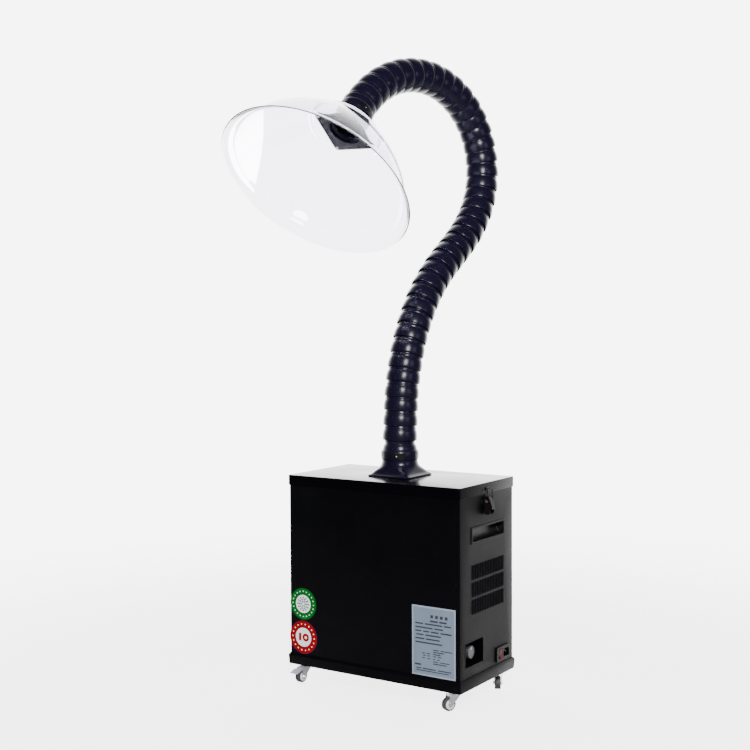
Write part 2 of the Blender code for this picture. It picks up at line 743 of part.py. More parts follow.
def make_arm_base_flange():
    """Square plate on the lid, flared neck, collar and the first ball."""
    low = CABINET_TOP + GAP - ARM_START_Z
    plate_top = low + FLANGE_PLATE
    collar = (-0.0430, -0.0240)
    ball = [(r, d) for d, r in reversed(((-0.0170, 0.0360),) + SHOULDER[1:] + BALL_OUTSIDE)]
    profile = ball + [
        (0.0395, collar[1]), (0.0395, collar[0]), (0.0385, collar[0] - 0.001), (0.0400, -0.0560),
        (0.0435, -0.0680), (0.0495, plate_top), (0.0495, low + 0.001),
        (0.0290, low + 0.001), (0.0300, -0.0400),
        (BALL_INSIDE[1][1], BALL_INSIDE[1][0]), (BALL_INSIDE[0][1], BALL_INSIDE[0][0]),
    ]
    place = frame_at(BALLS[0], Vector((0, 0, 1)))
    flange = add("arm_base_flange", square_plate("arm_base_flange", low), BLACK_PLASTIC, place)
    combine(flange, turned("base_neck", profile, None, 16, place, tool=True), "UNION")
    cut(flange, "base_bore", cylinder("base_bore", 0.0288, low - 0.01, plate_top + 0.004), place)
    screw_holes(flange, "base", low, place)


def make_hood_flange():
    """The last bell, a collar, a flared neck and a square plate inside the hood."""
    plate = HOOD_PLATE_AT
    profile = [
        (0.0495, plate + 0.001), (0.0480, plate - FLANGE_PLATE), (0.0430, plate - 0.0130),
        (0.0385, plate - 0.0200), (0.0370, 0.0300), (0.0365, 0.0120),
        *[(r, d) for d, r in reversed(BELL_OUTSIDE)],
        *[(r, d) for d, r in reversed(BELL_INSIDE)],
        (0.0300, 0.0400), (0.0300, plate + 0.001),
    ]
    place = frame_at(BALLS[-1], DIRECTIONS[-1])
    flange = add("hood_flange", square_plate("hood_flange", plate), BLACK_PLASTIC, place)
    combine(flange, turned("hood_neck", profile, None, 16, place, tool=True), "UNION")
    cut(flange, "hood_bore", cylinder("hood_bore", 0.0299, plate - 0.004, plate + 0.02), place)
    screw_holes(flange, "hood", plate, place)


def hood_outline():
    """Radius and height of the dome's outside, from the rim to the hole in its crown."""
    skirt_radius, skirt_at = HOOD_SKIRT
    rise = skirt_at - HOOD_DOME_TOP
    steps = 9
    outline = [HOOD_RIM]
    for i in range(steps + 1):
        angle = math.pi / 2 * i / steps
        radius = skirt_radius * math.cos(angle) ** (2 / HOOD_CURVE)
        if radius > HOOD_BOSS_FOOT[0] + 0.004:
            outline.append((radius, skirt_at - rise * math.sin(angle) ** (2 / HOOD_CURVE)))
    return outline + [HOOD_BOSS_FOOT, HOOD_BOSS, (HOOD_HOLE_RADIUS, HOOD_BOSS[1])]


def make_hood():
    """A clear dome with a turned-out skirt and a flat crown that the arm's plate bolts to."""
    outside = hood_outline()
    inside = [(HOOD_RIM[0] - HOOD_WALL, HOOD_RIM[1])]
    for before, (radius, height), after in zip(outside, outside[1:], outside[2:]):
        along = Vector((after[0] - before[0], after[1] - before[1])).normalized()
        inside.append((radius + along.y * HOOD_WALL, height - along.x * HOOD_WALL))
    inside.append((HOOD_HOLE_RADIUS, HOOD_BOSS[1] + HOOD_WALL))
    place = frame_at(BALLS[-1], DIRECTIONS[-1])
    turned("hood", outside + inside[::-1], ACRYLIC, 32, place)


# ---------------------------------------------------------------- the whole object


def set_origin():
    """Moves everything so that the origin is the bottom centre of the bounding box."""
    bpy.context.view_layer.update()
    depsgraph = bpy.context.evaluated_depsgraph_get()
    corners = []
    for item in PARTS.objects:
        shape = item.evaluated_get(depsgraph)
        corners += [item.matrix_world @ vertex.co for vertex in shape.data.vertices]
    low = Vector([min(point[i] for point in corners) for i in range(3)])
    high = Vector([max(point[i] for point in corners) for i in range(3)])
    middle = (low + high) / 2
    shift = Matrix.Translation((-middle.x, -middle.y, -low.z))
    for item in list(PARTS.objects) + list(CUTTERS.objects):
        item.matrix_world = shift @ item.matrix_world


def main():
    make_cabinet_body()
    make_base_tray()
    make_top_lid()
    make_lid_gasket()
    make_handle_cup("handle_cup_right", 1)
    make_handle_cup("handle_cup_left", -1)
    make_latch("right", 1)
    make_latch("left", -1)
    make_speed_control()
    make_power_inlet()
    make_filters()
    make_blower()
    make_control_board()
    for castor in CASTORS:
        swivel = make_castor(*castor)
        if castor[-1]:
            make_brake_pedal(swivel)
    make_arm_base_flange()
    make_arm()
    make_hood_flange()
    make_hood()
    set_origin()


main()
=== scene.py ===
"""The looks of a solder fume extractor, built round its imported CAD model.

Metres and +Z up, in the model's own frame. -Y is the front of the cabinet and +X the side with
the controls. Every place comes from the CAD nodes and joints; the sizes below are details that
the CAD model leaves out.
"""

import json
import math

import bmesh
import bpy
from mathutils import Matrix, Vector


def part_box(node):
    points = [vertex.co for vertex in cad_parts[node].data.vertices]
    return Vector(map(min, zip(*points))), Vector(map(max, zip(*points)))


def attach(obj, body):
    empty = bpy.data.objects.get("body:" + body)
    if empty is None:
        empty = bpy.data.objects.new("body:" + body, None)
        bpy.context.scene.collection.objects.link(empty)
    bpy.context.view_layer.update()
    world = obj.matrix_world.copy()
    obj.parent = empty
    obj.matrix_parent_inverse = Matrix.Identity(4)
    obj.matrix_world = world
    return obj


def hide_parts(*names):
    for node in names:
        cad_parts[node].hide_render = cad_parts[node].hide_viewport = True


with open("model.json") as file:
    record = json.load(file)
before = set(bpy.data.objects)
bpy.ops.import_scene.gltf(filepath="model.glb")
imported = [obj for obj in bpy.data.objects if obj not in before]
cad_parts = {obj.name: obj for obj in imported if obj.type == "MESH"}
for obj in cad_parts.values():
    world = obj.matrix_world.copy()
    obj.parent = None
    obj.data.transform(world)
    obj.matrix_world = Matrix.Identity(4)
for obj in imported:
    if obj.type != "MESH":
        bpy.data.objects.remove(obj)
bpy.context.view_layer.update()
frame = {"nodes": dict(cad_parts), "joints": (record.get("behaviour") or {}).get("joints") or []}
NODES = frame["nodes"]
JOINTS = {joint["name"]: joint for joint in frame["joints"]}

SHARP_EDGE = math.radians(32)  # the least angle that is shaded and rounded as an edge

# Cabinet, read from the CAD nodes
BODY_LOW, BODY_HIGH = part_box("cabinet_body")
LID_LOW, LID_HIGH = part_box("top_lid")
TRAY_LOW, TRAY_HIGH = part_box("base_tray")
CENTRE = Vector(((LID_LOW.x + LID_HIGH.x) / 2, (LID_LOW.y + LID_HIGH.y) / 2, 0))
CABINET = Matrix.Translation(CENTRE)
WALL_X = BODY_HIGH.x - CENTRE.x
FRONT_Y = BODY_LOW.y - CENTRE.y
LID_TOP = LID_HIGH.z
SHEET = 0.0015
EDGE = 0.0011  # radius of a folded sheet edge
RECESS_GAP = 0.0003  # round the speed control's box

# Louvres, in rows on the side with the controls
SIDE_CENTRE_Y = 0.004
LOUVRE_ROWS_Z = (0.2775, 0.2420, 0.2065)
LOUVRE_COUNT = 20
LOUVRE_PITCH = 0.0070
LOUVRE_SLOT = (0.0036, 0.030)

# Arm
ARM_SECTIONS = 19
FIRST_SECTION_SEGMENTS = 3
SEGMENT_SIDES = 56
DUCT_HOLE_RADIUS = 0.030
FLANGE_PLATE = 0.004
FLANGE_HALF = 0.052
FLANGE_SQUARENESS = 16  # 2 is a circle, and a square's corners sharpen as it grows
SCREW_REACH = 1.22  # from the middle of a flange to its screws, as a share of its half width
CLIP_HEADING = -68.5  # degrees from +X

# Hood, as radius and distance along its axis from the last ball
HOOD_HOLE_RADIUS = 0.0510
HOOD_BOSS = (0.0740, 0.066)
HOOD_BOSS_FOOT = (0.0815, 0.0755)
HOOD_DOME_TOP = 0.047
HOOD_CURVE = 1.5  # 1 is a cone and 2 is an ellipsoid
HOOD_SKIRT = (0.190, 0.210)
HOOD_RIM = (0.209, 0.226)
HOOD_WALL = 0.003
HOOD_PLATE_AT = 0.071

# Camera
FOCAL_LENGTH = 60.0
CAMERA_PLACE = Vector((1.4457, -2.2707, 0.8009))  # from the foot of the cabinet's middle
CAMERA_AIM = Vector((-0.55296, 0.83187, -0.04724))
CAMERA_ROLL = math.radians(-0.29)
BACKDROP = 7.0


# ---------------------------------------------------------------- materials


def surface(
    name, colour, roughness, metallic=0.0, vary=0.2, grain=350.0, bump=0.1, relief=0.0002, **sockets
):
    """A Principled material with a fine grain in its relief, and slow shifts in colour and gloss."""
    made = bpy.data.materials.new(name)
    made.use_nodes = True
    nodes, links = made.node_tree.nodes, made.node_tree.links
    shader = nodes["Principled BSDF"]
    shader.inputs["Metallic"].default_value = metallic
    for socket, value in sockets.items():
        shader.inputs[socket.replace("_", " ")].default_value = value

    place = nodes.new("ShaderNodeTexCoord")
    fine = nodes.new("ShaderNodeTexNoise")
    fine.inputs["Scale"].default_value = grain
    fine.inputs["Detail"].default_value = 3.0
    slow = nodes.new("ShaderNodeTexNoise")
    slow.inputs["Scale"].default_value = 9.0
    slow.inputs["Detail"].default_value = 4.0
    for texture in (fine, slow):
        links.new(place.outputs["Object"], texture.inputs["Vector"])

    tint = nodes.new("ShaderNodeMix")
    tint.data_type = "RGBA"
    tint.inputs["A"].default_value = (*[c * (1 - vary) for c in colour], 1)
    tint.inputs["B"].default_value = (*[min(1, c * (1 + vary)) for c in colour], 1)
    links.new(slow.outputs["Fac"], tint.inputs["Factor"])
    links.new(tint.outputs["Result"], shader.inputs["Base Color"])

    gloss = nodes.new("ShaderNodeMapRange")
    gloss.inputs["From Min"].default_value = 0.3
    gloss.inputs["From Max"].default_value = 0.7
    gloss.inputs["To Min"].default_value = roughness * 0.85
    gloss.inputs["To Max"].default_value = min(1, roughness * 1.15)
    links.new(slow.outputs["Fac"], gloss.inputs["Value"])
    links.new(gloss.outputs["Result"], shader.inputs["Roughness"])

    raised = nodes.new("ShaderNodeBump")
    raised.inputs["Strength"].default_value = bump
    raised.inputs["Distance"].default_value = relief
    links.new(fine.outputs["Fac"], raised.inputs["Height"])
    links.new(raised.outputs["Normal"], shader.inputs["Normal"])
    return made


def cellular(name, colour, roughness, scale, relief, **sockets):
    """A surface whose relief and colour come from cells: open foam, or the spangle of zinc."""
    made = surface(name, colour, roughness, bump=0.3, relief=relief, **sockets)
    nodes, links = made.node_tree.nodes, made.node_tree.links
    cells = nodes.new("ShaderNodeTexVoronoi")
    cells.inputs["Scale"].default_value = scale
    place = next(n for n in nodes if n.type == "TEX_COORD")
    links.new(place.outputs["Object"], cells.inputs["Vector"])
    raised = next(n for n in nodes if n.type == "BUMP")
    links.new(cells.outputs["Distance"], raised.inputs["Height"])
    tint = next(n for n in nodes if n.type == "MIX")
    links.new(cells.outputs["Distance"], tint.inputs["Factor"])
    return made


POWDER_BLACK = surface(
    "powder_black", (0.0011, 0.0011, 0.0016), 0.38, grain=900, bump=0.15, relief=0.0002,
    Specular_IOR_Level=0.065, Specular_Tint=(0.95, 0.90, 1.0, 1.0),
)
LID_BLACK = surface(
    "lid_black", (0.0011, 0.0011, 0.0016), 0.22, grain=900, bump=0.10, relief=0.0001,
    Specular_IOR_Level=0.10, Specular_Tint=(0.95, 0.90, 1.0, 1.0),
)
ARM_BLACK = surface(
    "arm_black", (0.0050, 0.0038, 0.0125), 0.24, vary=0.3, grain=500, bump=0.02, relief=0.0001,
    Specular_IOR_Level=0.17,
)
MOULDED_BLACK = surface(
    "moulded_black", (0.0025, 0.0025, 0.003), 0.32, grain=1400, bump=0.2, Specular_IOR_Level=0.3
)
CLEAR = surface(
    "clear_acrylic", (0.80, 0.80, 0.88), 0.02, vary=0.01, grain=25, bump=0.005,
    Transmission_Weight=1.0, IOR=1.49,
)
DARK_METAL = surface(
    "dark_metal", (0.0045, 0.0032, 0.0034), 0.34, grain=700, bump=0.15, Specular_IOR_Level=0.13
)
ZINC = surface("zinc_plate", (0.70, 0.71, 0.74), 0.27, metallic=1.0, vary=0.12, grain=500, bump=0.12)
HUB_GREY = surface("hub_grey", (0.72, 0.72, 0.76), 0.30, vary=0.06, grain=800, bump=0.08)
PEDAL_GREY = surface("pedal_grey", (0.42, 0.41, 0.50), 0.35, vary=0.1, grain=800, bump=0.15)
TYRE = surface("tyre", (0.030, 0.032, 0.034), 0.62, grain=1200, bump=0.4)
KNOB = surface("knob_grey", (0.032, 0.032, 0.036), 0.30, grain=1300, bump=0.15)
POINTER = surface("pointer_white", (0.8, 0.8, 0.8), 0.4, vary=0.03)
INLET = surface(
    "inlet_grey", (0.0022, 0.0022, 0.0030), 0.26, grain=1000, bump=0.1, Specular_IOR_Level=0.10
)
ROCKER_RED = surface(
    "rocker_red", (0.060, 0.0005, 0.001), 0.30, vary=0.08, grain=900, bump=0.05, Specular_IOR_Level=0.1
)
BRASS = surface("plated_pin", (0.30, 0.27, 0.20), 0.35, metallic=1.0, vary=0.05)
FOAM = cellular("open_foam", (0.045, 0.046, 0.050), 0.95, 650, 0.0012)
FILTER_MEDIUM = surface("filter_medium", (0.75, 0.75, 0.71), 0.9, vary=0.1, grain=1500, bump=0.6)
GALVANISED = cellular("galvanised", (0.52, 0.53, 0.55), 0.4, 90, 0.0001, Metallic=1.0)
BOARD = surface("board_green", (0.02, 0.16, 0.07), 0.45, vary=0.2, grain=200, bump=0.2)


def ink(name, colour, roughness, vary, **sockets):
    """A printed colour on a smooth sticker."""
    return surface(name, colour, roughness, vary=vary, grain=900, bump=0.05, **sockets)


GREEN_INK = ink("green_ink", (0.0, 0.110, 0.010), 0.5, 0.12, Specular_IOR_Level=0.03)
DEEP_GREEN_INK = ink("deep_green_ink", (0.0, 0.04, 0.008), 0.5, 0.12, Specular_IOR_Level=0.03)
RED_INK = ink("red_ink", (0.26, 0.0, 0.0), 0.5, 0.08, Specular_IOR_Level=0.03)
NAVY_INK = ink("navy_ink", (0.012, 0.012, 0.09), 0.5, 0.1, Specular_IOR_Level=0.03)
WHITE_INK = ink("white_ink", (0.80, 0.82, 0.86), 0.42, 0.04)
LABEL_GREY = ink("label_grey", (0.145, 0.185, 0.245), 0.45, 0.12)
LABEL_EDGE = ink("label_edge", (0.26, 0.31, 0.38), 0.45, 0.05)
LABEL_INK = ink("label_ink", (0.008, 0.012, 0.020), 0.5, 0.1)


# ---------------------------------------------------------------- meshes


def mesh_of(name, build):
    bm = bmesh.new()
    build(bm)
    bmesh.ops.recalc_face_normals(bm, faces=bm.faces)
    made = bpy.data.meshes.new(name)
    bm.to_mesh(made)
    bm.free()
    return made


def add_block(bm, low, high, turn=Matrix.Identity(4)):
    """A box between two corners, turned about its middle."""
    low, high = Vector(low), Vector(high)
    place = Matrix.Translation((low + high) / 2) @ turn @ Matrix.Diagonal((*(high - low), 1))
    bmesh.ops.create_cube(bm, size=1.0, matrix=place)


def block(name, low, high):
    return mesh_of(name, lambda bm: add_block(bm, low, high))


def add_extrusion(bm, corners, reach):
    """A flat face through the corners, extruded by the vector."""
    near = [bm.verts.new(corner) for corner in corners]
    far = [bm.verts.new(Vector(corner) + Vector(reach)) for corner in corners]
    bm.faces.new(near)
    bm.faces.new(far)
    for i in range(len(near)):
        bm.faces.new((near[i - 1], near[i], far[i], far[i - 1]))


def add_prism(bm, outline, low, high):
    """An outline of (x, z) points extruded along Y."""
    add_extrusion(bm, [(x, low, z) for x, z in outline], (0, high - low, 0))


def prism(name, outline, low, high):
    return mesh_of(name, lambda bm: add_prism(bm, outline, low, high))


def add_turned(bm, profile, sides, place=Matrix.Identity(4)):
    """A closed profile of (radius, z) points turned about Z. A radius of 0 makes a point."""
    rows = []
    for radius, z in profile:
        count = sides if radius > 0 else 1
        turns = [2 * math.pi * i / sides for i in range(count)]
        points = [Vector((radius * math.cos(a), radius * math.sin(a), z)) for a in turns]
        rows.append([bm.verts.new(place @ point) for point in points])
    for row, after in zip(rows, rows[1:] + rows[:1]):
        if len(row) == len(after) == 1:
            continue
        for i in range(sides):
            j = (i + 1) % sides
            corners = [(row, i), (row, j), (after, j), (after, i)]
            bm.faces.new(list(dict.fromkeys(ring[k % len(ring)] for ring, k in corners)))


def turned(name, profile, sides=48):
    return mesh_of(name, lambda bm: add_turned(bm, profile, sides))


def arc(centre, radius, start, end, steps):
    """Points of an arc in a profile, with angles in degrees from the outward direction."""
    angles = [math.radians(start + (end - start) * i / steps) for i in range(steps + 1)]
    return [(centre[0] + radius * math.cos(a), centre[1] + radius * math.sin(a)) for a in angles]


# ---------------------------------------------------------------- pieces


def smooth(mesh):
    mesh.polygons.foreach_set("use_smooth", [True] * len(mesh.polygons))
    mesh.set_sharp_from_angle(angle=SHARP_EDGE)


def show(name, mesh, body, finish, place=CABINET, bevel=0.0, replaces=None):
    """A piece with smooth shading and rounded edges that rides on a CAD body."""
    made = bpy.data.objects.new(name, mesh)
    bpy.context.scene.collection.objects.link(made)
    made.matrix_world = place
    if not mesh.materials:
        mesh.materials.append(finish)
    if bevel:
        rounding = made.modifiers.new("rounded_edges", "BEVEL")
        rounding.width = bevel
        rounding.segments = 3
        rounding.limit_method = "ANGLE"
        rounding.angle_limit = SHARP_EDGE
    smooth(mesh)
    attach(made, body)
    if replaces:
        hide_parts(replaces)


def settle(made):
    """Puts a piece's modifiers into its mesh."""
    shape = made.evaluated_get(bpy.context.evaluated_depsgraph_get())
    mesh = bpy.data.meshes.new_from_object(shape)
    made.modifiers.clear()
    made.data = mesh
    return mesh


def carved(name, mesh, cutters):
    """A mesh with other meshes cut out of it."""
    made = bpy.data.objects.new(name, mesh)
    bpy.context.scene.collection.objects.link(made)
    tools = []
    for i, cutter in enumerate(cutters):
        tool = bpy.data.objects.new(f"{name}_cutter_{i}", cutter)
        bpy.context.scene.collection.objects.link(tool)
        tools.append(tool)
        step = made.modifiers.new(f"cut_{i}", "BOOLEAN")
        step.operation = "DIFFERENCE"
        step.solver = "EXACT"
        step.object = tool
    cut = settle(made)
    for item in (*tools, made):
        bpy.data.objects.remove(item)
    return cut


def keep_node(name, finish, bevel=0.0):
    """A CAD node that is shown as it is, with rounded edges and a better material."""
    node = NODES[name]
    for i in range(max(1, len(node.data.materials))):
        if i < len(node.data.materials):
            node.data.materials[i] = finish
        else:
            node.data.materials.append(finish)
    if bevel:
        weld = node.modifiers.new("weld", "WELD")
        weld.merge_threshold = 0.00001
        rounding = node.modifiers.new("rounded_edges", "BEVEL")
        rounding.width = bevel
        rounding.segments = 2
        rounding.limit_method = "ANGLE"
        rounding.angle_limit = SHARP_EDGE


def screw_head(name, body, place, radius=0.0028, finish=ZINC):
    """A pan-head screw with a cross recess, its head along +Z."""
    top = 0.0014
    rim = arc((radius - 0.0006, 0.0002), 0.0006, 0, 60, 3)
    head = turned(name, [(0, 0), (radius, 0), *rim, (radius * 0.5, top - 0.0001), (0, top)], 24)
    arm, half, bottom = radius * 0.62, 0.0003, top - 0.0009
    cross = [
        block("slot", (-arm, -half, bottom), (arm, half, 0.003)),
        block("slot", (-half, -arm, bottom), (half, arm, 0.003)),
    ]
    show(name, carved(name, head, cross), body, finish, place)


# ---------------------------------------------------------------- cabinet


def make_shell():
    """Folded sheet walls with real openings and fine louvre slots."""
    half_y = (BODY_HIGH.y - BODY_LOW.y) / 2
    low, top = BODY_LOW.z, BODY_HIGH.z

    def walls(bm):
        add_block(bm, (-WALL_X, -half_y, low), (WALL_X, half_y, top))
        upright = [e for e in bm.edges if abs(e.verts[0].co.z - e.verts[1].co.z) > 0.1]
        bmesh.ops.bevel(bm, geom=upright, offset=0.0018, segments=4, profile=0.5, affect="EDGES")

    inner = (WALL_X - SHEET, half_y - SHEET)
    ledge = 0.014
    mouth = (inner[0] - ledge, inner[1] - ledge)
    cutters = [
        block("inside", (-inner[0], -inner[1], 0), (*inner, top - SHEET)),
        block("mouth", (-mouth[0], -mouth[1], 0.2), (*mouth, 0.6)),
    ]
    for node in ("handle_cup_right", "handle_cup_left", "speed_recess_box", "power_inlet"):
        node_low, node_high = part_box(node)
        inset = 0.0027 if node != "speed_recess_box" else -RECESS_GAP
        side = 1 if node != "handle_cup_left" else -1
        x = sorted((side * (WALL_X - 0.01), side * (WALL_X + 0.01)))
        y = (node_low.y - CENTRE.y + inset, node_high.y - CENTRE.y - inset)
        z = (node_low.z + inset, node_high.z - inset)
        cutters.append(block("opening", (x[0], y[0], z[0]), (x[1], y[1], z[1])))
    width, height = LOUVRE_SLOT

    def slots(bm):
        for y, z in louvre_places():
            low_corner = (WALL_X - 0.01, y - width / 2, z - height / 2)
            add_block(bm, low_corner, (WALL_X + 0.01, y + width / 2, z + height / 2))

    cutters.append(mesh_of("slots", slots))
    shell = carved("cabinet_shell", mesh_of("walls", walls), cutters)
    show("cabinet_shell", shell, "cabinet", POWDER_BLACK, replaces="cabinet_body")

    def blades(bm):
        lean = Matrix.Rotation(math.radians(38), 4, "Z")
        for y, z in louvre_places():
            centre = Vector((WALL_X - 0.0004, y - width * 0.42, z))
            reach = Vector((0.0022, 0.0004, height / 2))
            add_block(bm, centre - reach, centre + reach, lean)

    mesh = mesh_of("louvre_blades", blades)
    show("louvre_blades", mesh, "cabinet", POWDER_BLACK, bevel=0.0002)
    reach = LOUVRE_PITCH * LOUVRE_COUNT / 2 + 0.004
    low_corner = (WALL_X - 0.0044, SIDE_CENTRE_Y - reach, min(LOUVRE_ROWS_Z) - 0.018)
    high_corner = (WALL_X - 0.0034, SIDE_CENTRE_Y + reach, max(LOUVRE_ROWS_Z) + 0.018)
    screen = block("louvre_screen", low_corner, high_corner)
    show("louvre_screen", screen, "cabinet", FOAM)


def louvre_places():
    for z in LOUVRE_ROWS_Z:
        for i in range(LOUVRE_COUNT):
            yield SIDE_CENTRE_Y + (i - (LOUVRE_COUNT - 1) / 2) * LOUVRE_PITCH, z


def open_box(name, rings, wall):
    """A sheet pan through rings of (z, half width, half depth), closed at the first ring."""

    def build(bm):
        rows = []
        for z, x, y in rings:
            corners = ((x, y, z), (-x, y, z), (-x, -y, z), (x, -y, z))
            rows.append([bm.verts.new(corner) for corner in corners])
        bm.faces.new(rows[0])
        for row, after in zip(rows, rows[1:]):
            for i in range(4):
                j = (i + 1) % 4
                bm.faces.new((row[i], row[j], after[j], after[i]))
        upright = [e for e in bm.edges if abs(e.verts[0].co.z - e.verts[1].co.z) > 0.0005]
        bmesh.ops.bevel(bm, geom=upright, offset=0.0022, segments=4, profile=0.5, affect="EDGES")

    made = bpy.data.objects.new(name, mesh_of(name, build))
    bpy.context.scene.collection.objects.link(made)
    fold = made.modifiers.new("fold", "BEVEL")
    fold.width = EDGE
    fold.segments = 3
    fold.limit_method = "ANGLE"
    fold.angle_limit = SHARP_EDGE
    sheet = made.modifiers.new("sheet", "SOLIDIFY")
    sheet.thickness = wall
    sheet.offset = -1
    mesh = settle(made)
    bpy.data.objects.remove(made)
    return mesh


def make_lid():
    x, y = (LID_HIGH.x - LID_LOW.x) / 2, (LID_HIGH.y - LID_LOW.y) / 2
    pan = open_box("lid", [(LID_TOP, x, y), (LID_LOW.z, x, y)], SHEET)
    low, high = LID_TOP - 0.01, LID_TOP + 0.01
    hole = turned("duct_hole", [(0, low), (DUCT_HOLE_RADIUS, low), (DUCT_HOLE_RADIUS, high), (0, high)])
    show("lid", carved("lid", pan, [hole]), "lid", LID_BLACK, replaces="top_lid")
    keep_node("lid_gasket", FOAM)


def make_tray():
    """A pan that tapers in below a chamfered rim."""
    x, y = (TRAY_HIGH.x - TRAY_LOW.x) / 2, (TRAY_HIGH.y - TRAY_LOW.y) / 2
    low, top = TRAY_LOW.z, TRAY_HIGH.z
    rings = [(low, x - 0.0012, y - 0.0012), (top - 0.0040, x, y), (top, x - 0.0028, y - 0.0028)]
    pan = open_box("tray", rings, 0.0013)
    show("tray", pan, "cabinet", POWDER_BLACK, replaces="base_tray")


def make_handle(node, side):
    """A pressed frame round a cup with a rounded lower lip."""
    low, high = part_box(node)
    y, z = (low.y + high.y) / 2 - CENTRE.y, (low.z + high.z) / 2
    half_y, half_z = (high.y - low.y) / 2, (high.z - low.z) / 2
    face, depth = WALL_X + 0.0003, 0.021
    turn = Matrix.Identity(4)
    if side < 0:
        turn = Matrix.Translation((0, 2 * y, 0)) @ Matrix.Rotation(math.pi, 4, "Z")

    def solid(bm):
        add_block(bm, (face, y - half_y, z - half_z), (face + 0.0012, y + half_y, z + half_z))

    def shell(bm):
        reach_y, reach_z = half_y - 0.0033, half_z - 0.0033
        low_corner = (WALL_X - depth, y - reach_y, z - reach_z)
        add_block(bm, low_corner, (face + 0.0006, y + reach_y, z + reach_z))

    wall = 0.0045
    bottom, top = z - half_z + wall, z + half_z - wall
    turns = [math.radians(180 + 90 * i / 10) for i in range(11)]
    mouth, reach, drop = WALL_X - 0.0005, 0.019, top - bottom
    sweep = [(mouth + reach * math.cos(a), top + drop * math.sin(a)) for a in turns]
    outline = [(WALL_X + 0.01, top), *sweep, (WALL_X + 0.01, bottom)]
    scoop = prism("scoop", outline, y - half_y + wall, y + half_y - wall)
    rim = carved("rim", mesh_of("rim", solid), [scoop])
    cup = carved("cup", mesh_of("cup", shell), [scoop])
    name, place = "handle_right" if side > 0 else "handle_left", CABINET @ turn
    show(f"{name}_frame", rim, "cabinet", POWDER_BLACK, place, 0.0004, node)
    show(f"{name}_cup", cup, "cabinet", MOULDED_BLACK, place, 0.0006)


# ---------------------------------------------------------------- controls


def make_speed_control():
    keep_node("speed_recess_box", POWDER_BLACK, 0.0003)
    low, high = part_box("speed_knob")
    pivot = Vector(JOINTS["speed_knob_turn"]["pos_m"])
    along = Matrix.Translation((0, pivot.y, pivot.z)) @ Matrix.Rotation(math.pi / 2, 4, "Y")
    radius = (high.z - low.z) / 2 + 0.0010
    face, back = high.x + 0.0040, high.x - 0.0145

    def knob(bm):
        skirt = [
            (0.003, back), (radius, back), (radius, back + 0.0016), (radius - 0.0008, back + 0.0030)
        ]
        crown = [
            *arc((radius - 0.0016, face - 0.0008), 0.0008, 0, 90, 4), (radius - 0.0026, face),
            (radius - 0.0032, face - 0.0007), (0, face - 0.0007),
        ]
        add_turned(bm, [*skirt, *crown, (0, back)], 72)
        for vertex in bm.verts:
            flute = math.cos(18 * math.atan2(vertex.co.y, vertex.co.x))
            if back + 0.0029 < vertex.co.z < face - 0.0008 and vertex.co.xy.length > 0.008:
                vertex.co.xy *= 1 + 0.022 * flute

    mesh = mesh_of("knob", knob)
    show("knob", mesh, "speed_knob", KNOB, along, replaces="speed_knob")
    tip, root = 0.0036 - radius, 0.0090 - radius
    mark = block("knob_pointer", (tip, -0.0006, face - 0.0012), (root, 0.0006, face - 0.0004))
    show("knob_pointer", mark, "speed_knob", POINTER, along, 0.0001)

    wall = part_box("speed_recess_box")[0].x + SHEET

    def scale_dots(bm):
        for i in range(11):
            angle = math.radians(45 + 27 * i)
            spot = Matrix.Translation((-0.0165 * math.cos(angle), 0.0165 * math.sin(angle), wall))
            add_turned(bm, [(0, 0), (0.0007, 0), (0.0007, 0.00025), (0, 0.00025)], 12, spot)

    show("knob_scale", mesh_of("knob_scale", scale_dots), "cabinet", POINTER, along)


def make_inlet():
    """A bezel with a socket, its three pins and the pocket of the rocker."""
    low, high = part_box("power_inlet")
    y, z, front = (low.y + high.y) / 2 - CENTRE.y, (low.z + high.z) / 2, high.x - CENTRE.x
    switch_y = JOINTS["rocker_switch_tip"]["pos_m"][1] - CENTRE.y
    socket_y = y + 0.0125

    def body(bm):
        add_block(bm, (front - 0.003, y - 0.029, z - 0.0155), (front, y + 0.029, z + 0.0155))
        across = [e for e in bm.edges if abs(e.verts[0].co.x - e.verts[1].co.x) > 0.001]
        bmesh.ops.bevel(bm, geom=across, offset=0.0022, segments=4, profile=0.5, affect="EDGES")

    def back(bm):
        add_block(bm, (front - 0.030, y - 0.0257, z - 0.0122), (front - 0.0015, y + 0.0257, z + 0.0122))

    half_y, half_z, corner = 0.0122, 0.0086, 0.0045
    left, right, bottom, top = socket_y - half_y, socket_y + half_y, z - half_z, z + half_z
    hexagon = [
        (left, bottom), (right, bottom), (right, top - corner),
        (right - corner, top), (left + corner, top), (left, top - corner),
    ]

    def socket(bm):
        add_extrusion(bm, [(front - 0.016, a, b) for a, b in hexagon], (0.02, 0, 0))

    pocket_low = (front - 0.0105, switch_y - 0.0068, z - 0.0108)
    pocket = block("pocket", pocket_low, (front + 0.01, switch_y + 0.0068, z + 0.0108))
    cutters = [mesh_of("socket", socket), pocket]
    bezel = carved("inlet_bezel", mesh_of("bezel", body), cutters)
    show("inlet_bezel", bezel, "cabinet", INLET, CABINET, 0.0004, "power_inlet")
    housing = carved("inlet_housing", mesh_of("housing", back), cutters)
    show("inlet_housing", housing, "cabinet", MOULDED_BLACK)

    def pins(bm):
        for across, up in ((-0.0070, -0.0012), (0.0, 0.0028), (0.0070, -0.0012)):
            a, b = socket_y + across, z + up
            low_corner = (front - 0.0158, a - 0.0010, b - 0.0020)
            add_block(bm, low_corner, (front - 0.0050, a + 0.0010, b + 0.0020))

    show("inlet_pins", mesh_of("inlet_pins", pins), "cabinet", BRASS, bevel=0.0005)
    keep_node("rocker_switch", ROCKER_RED, 0.0004)


# ---------------------------------------------------------------- latches and castors


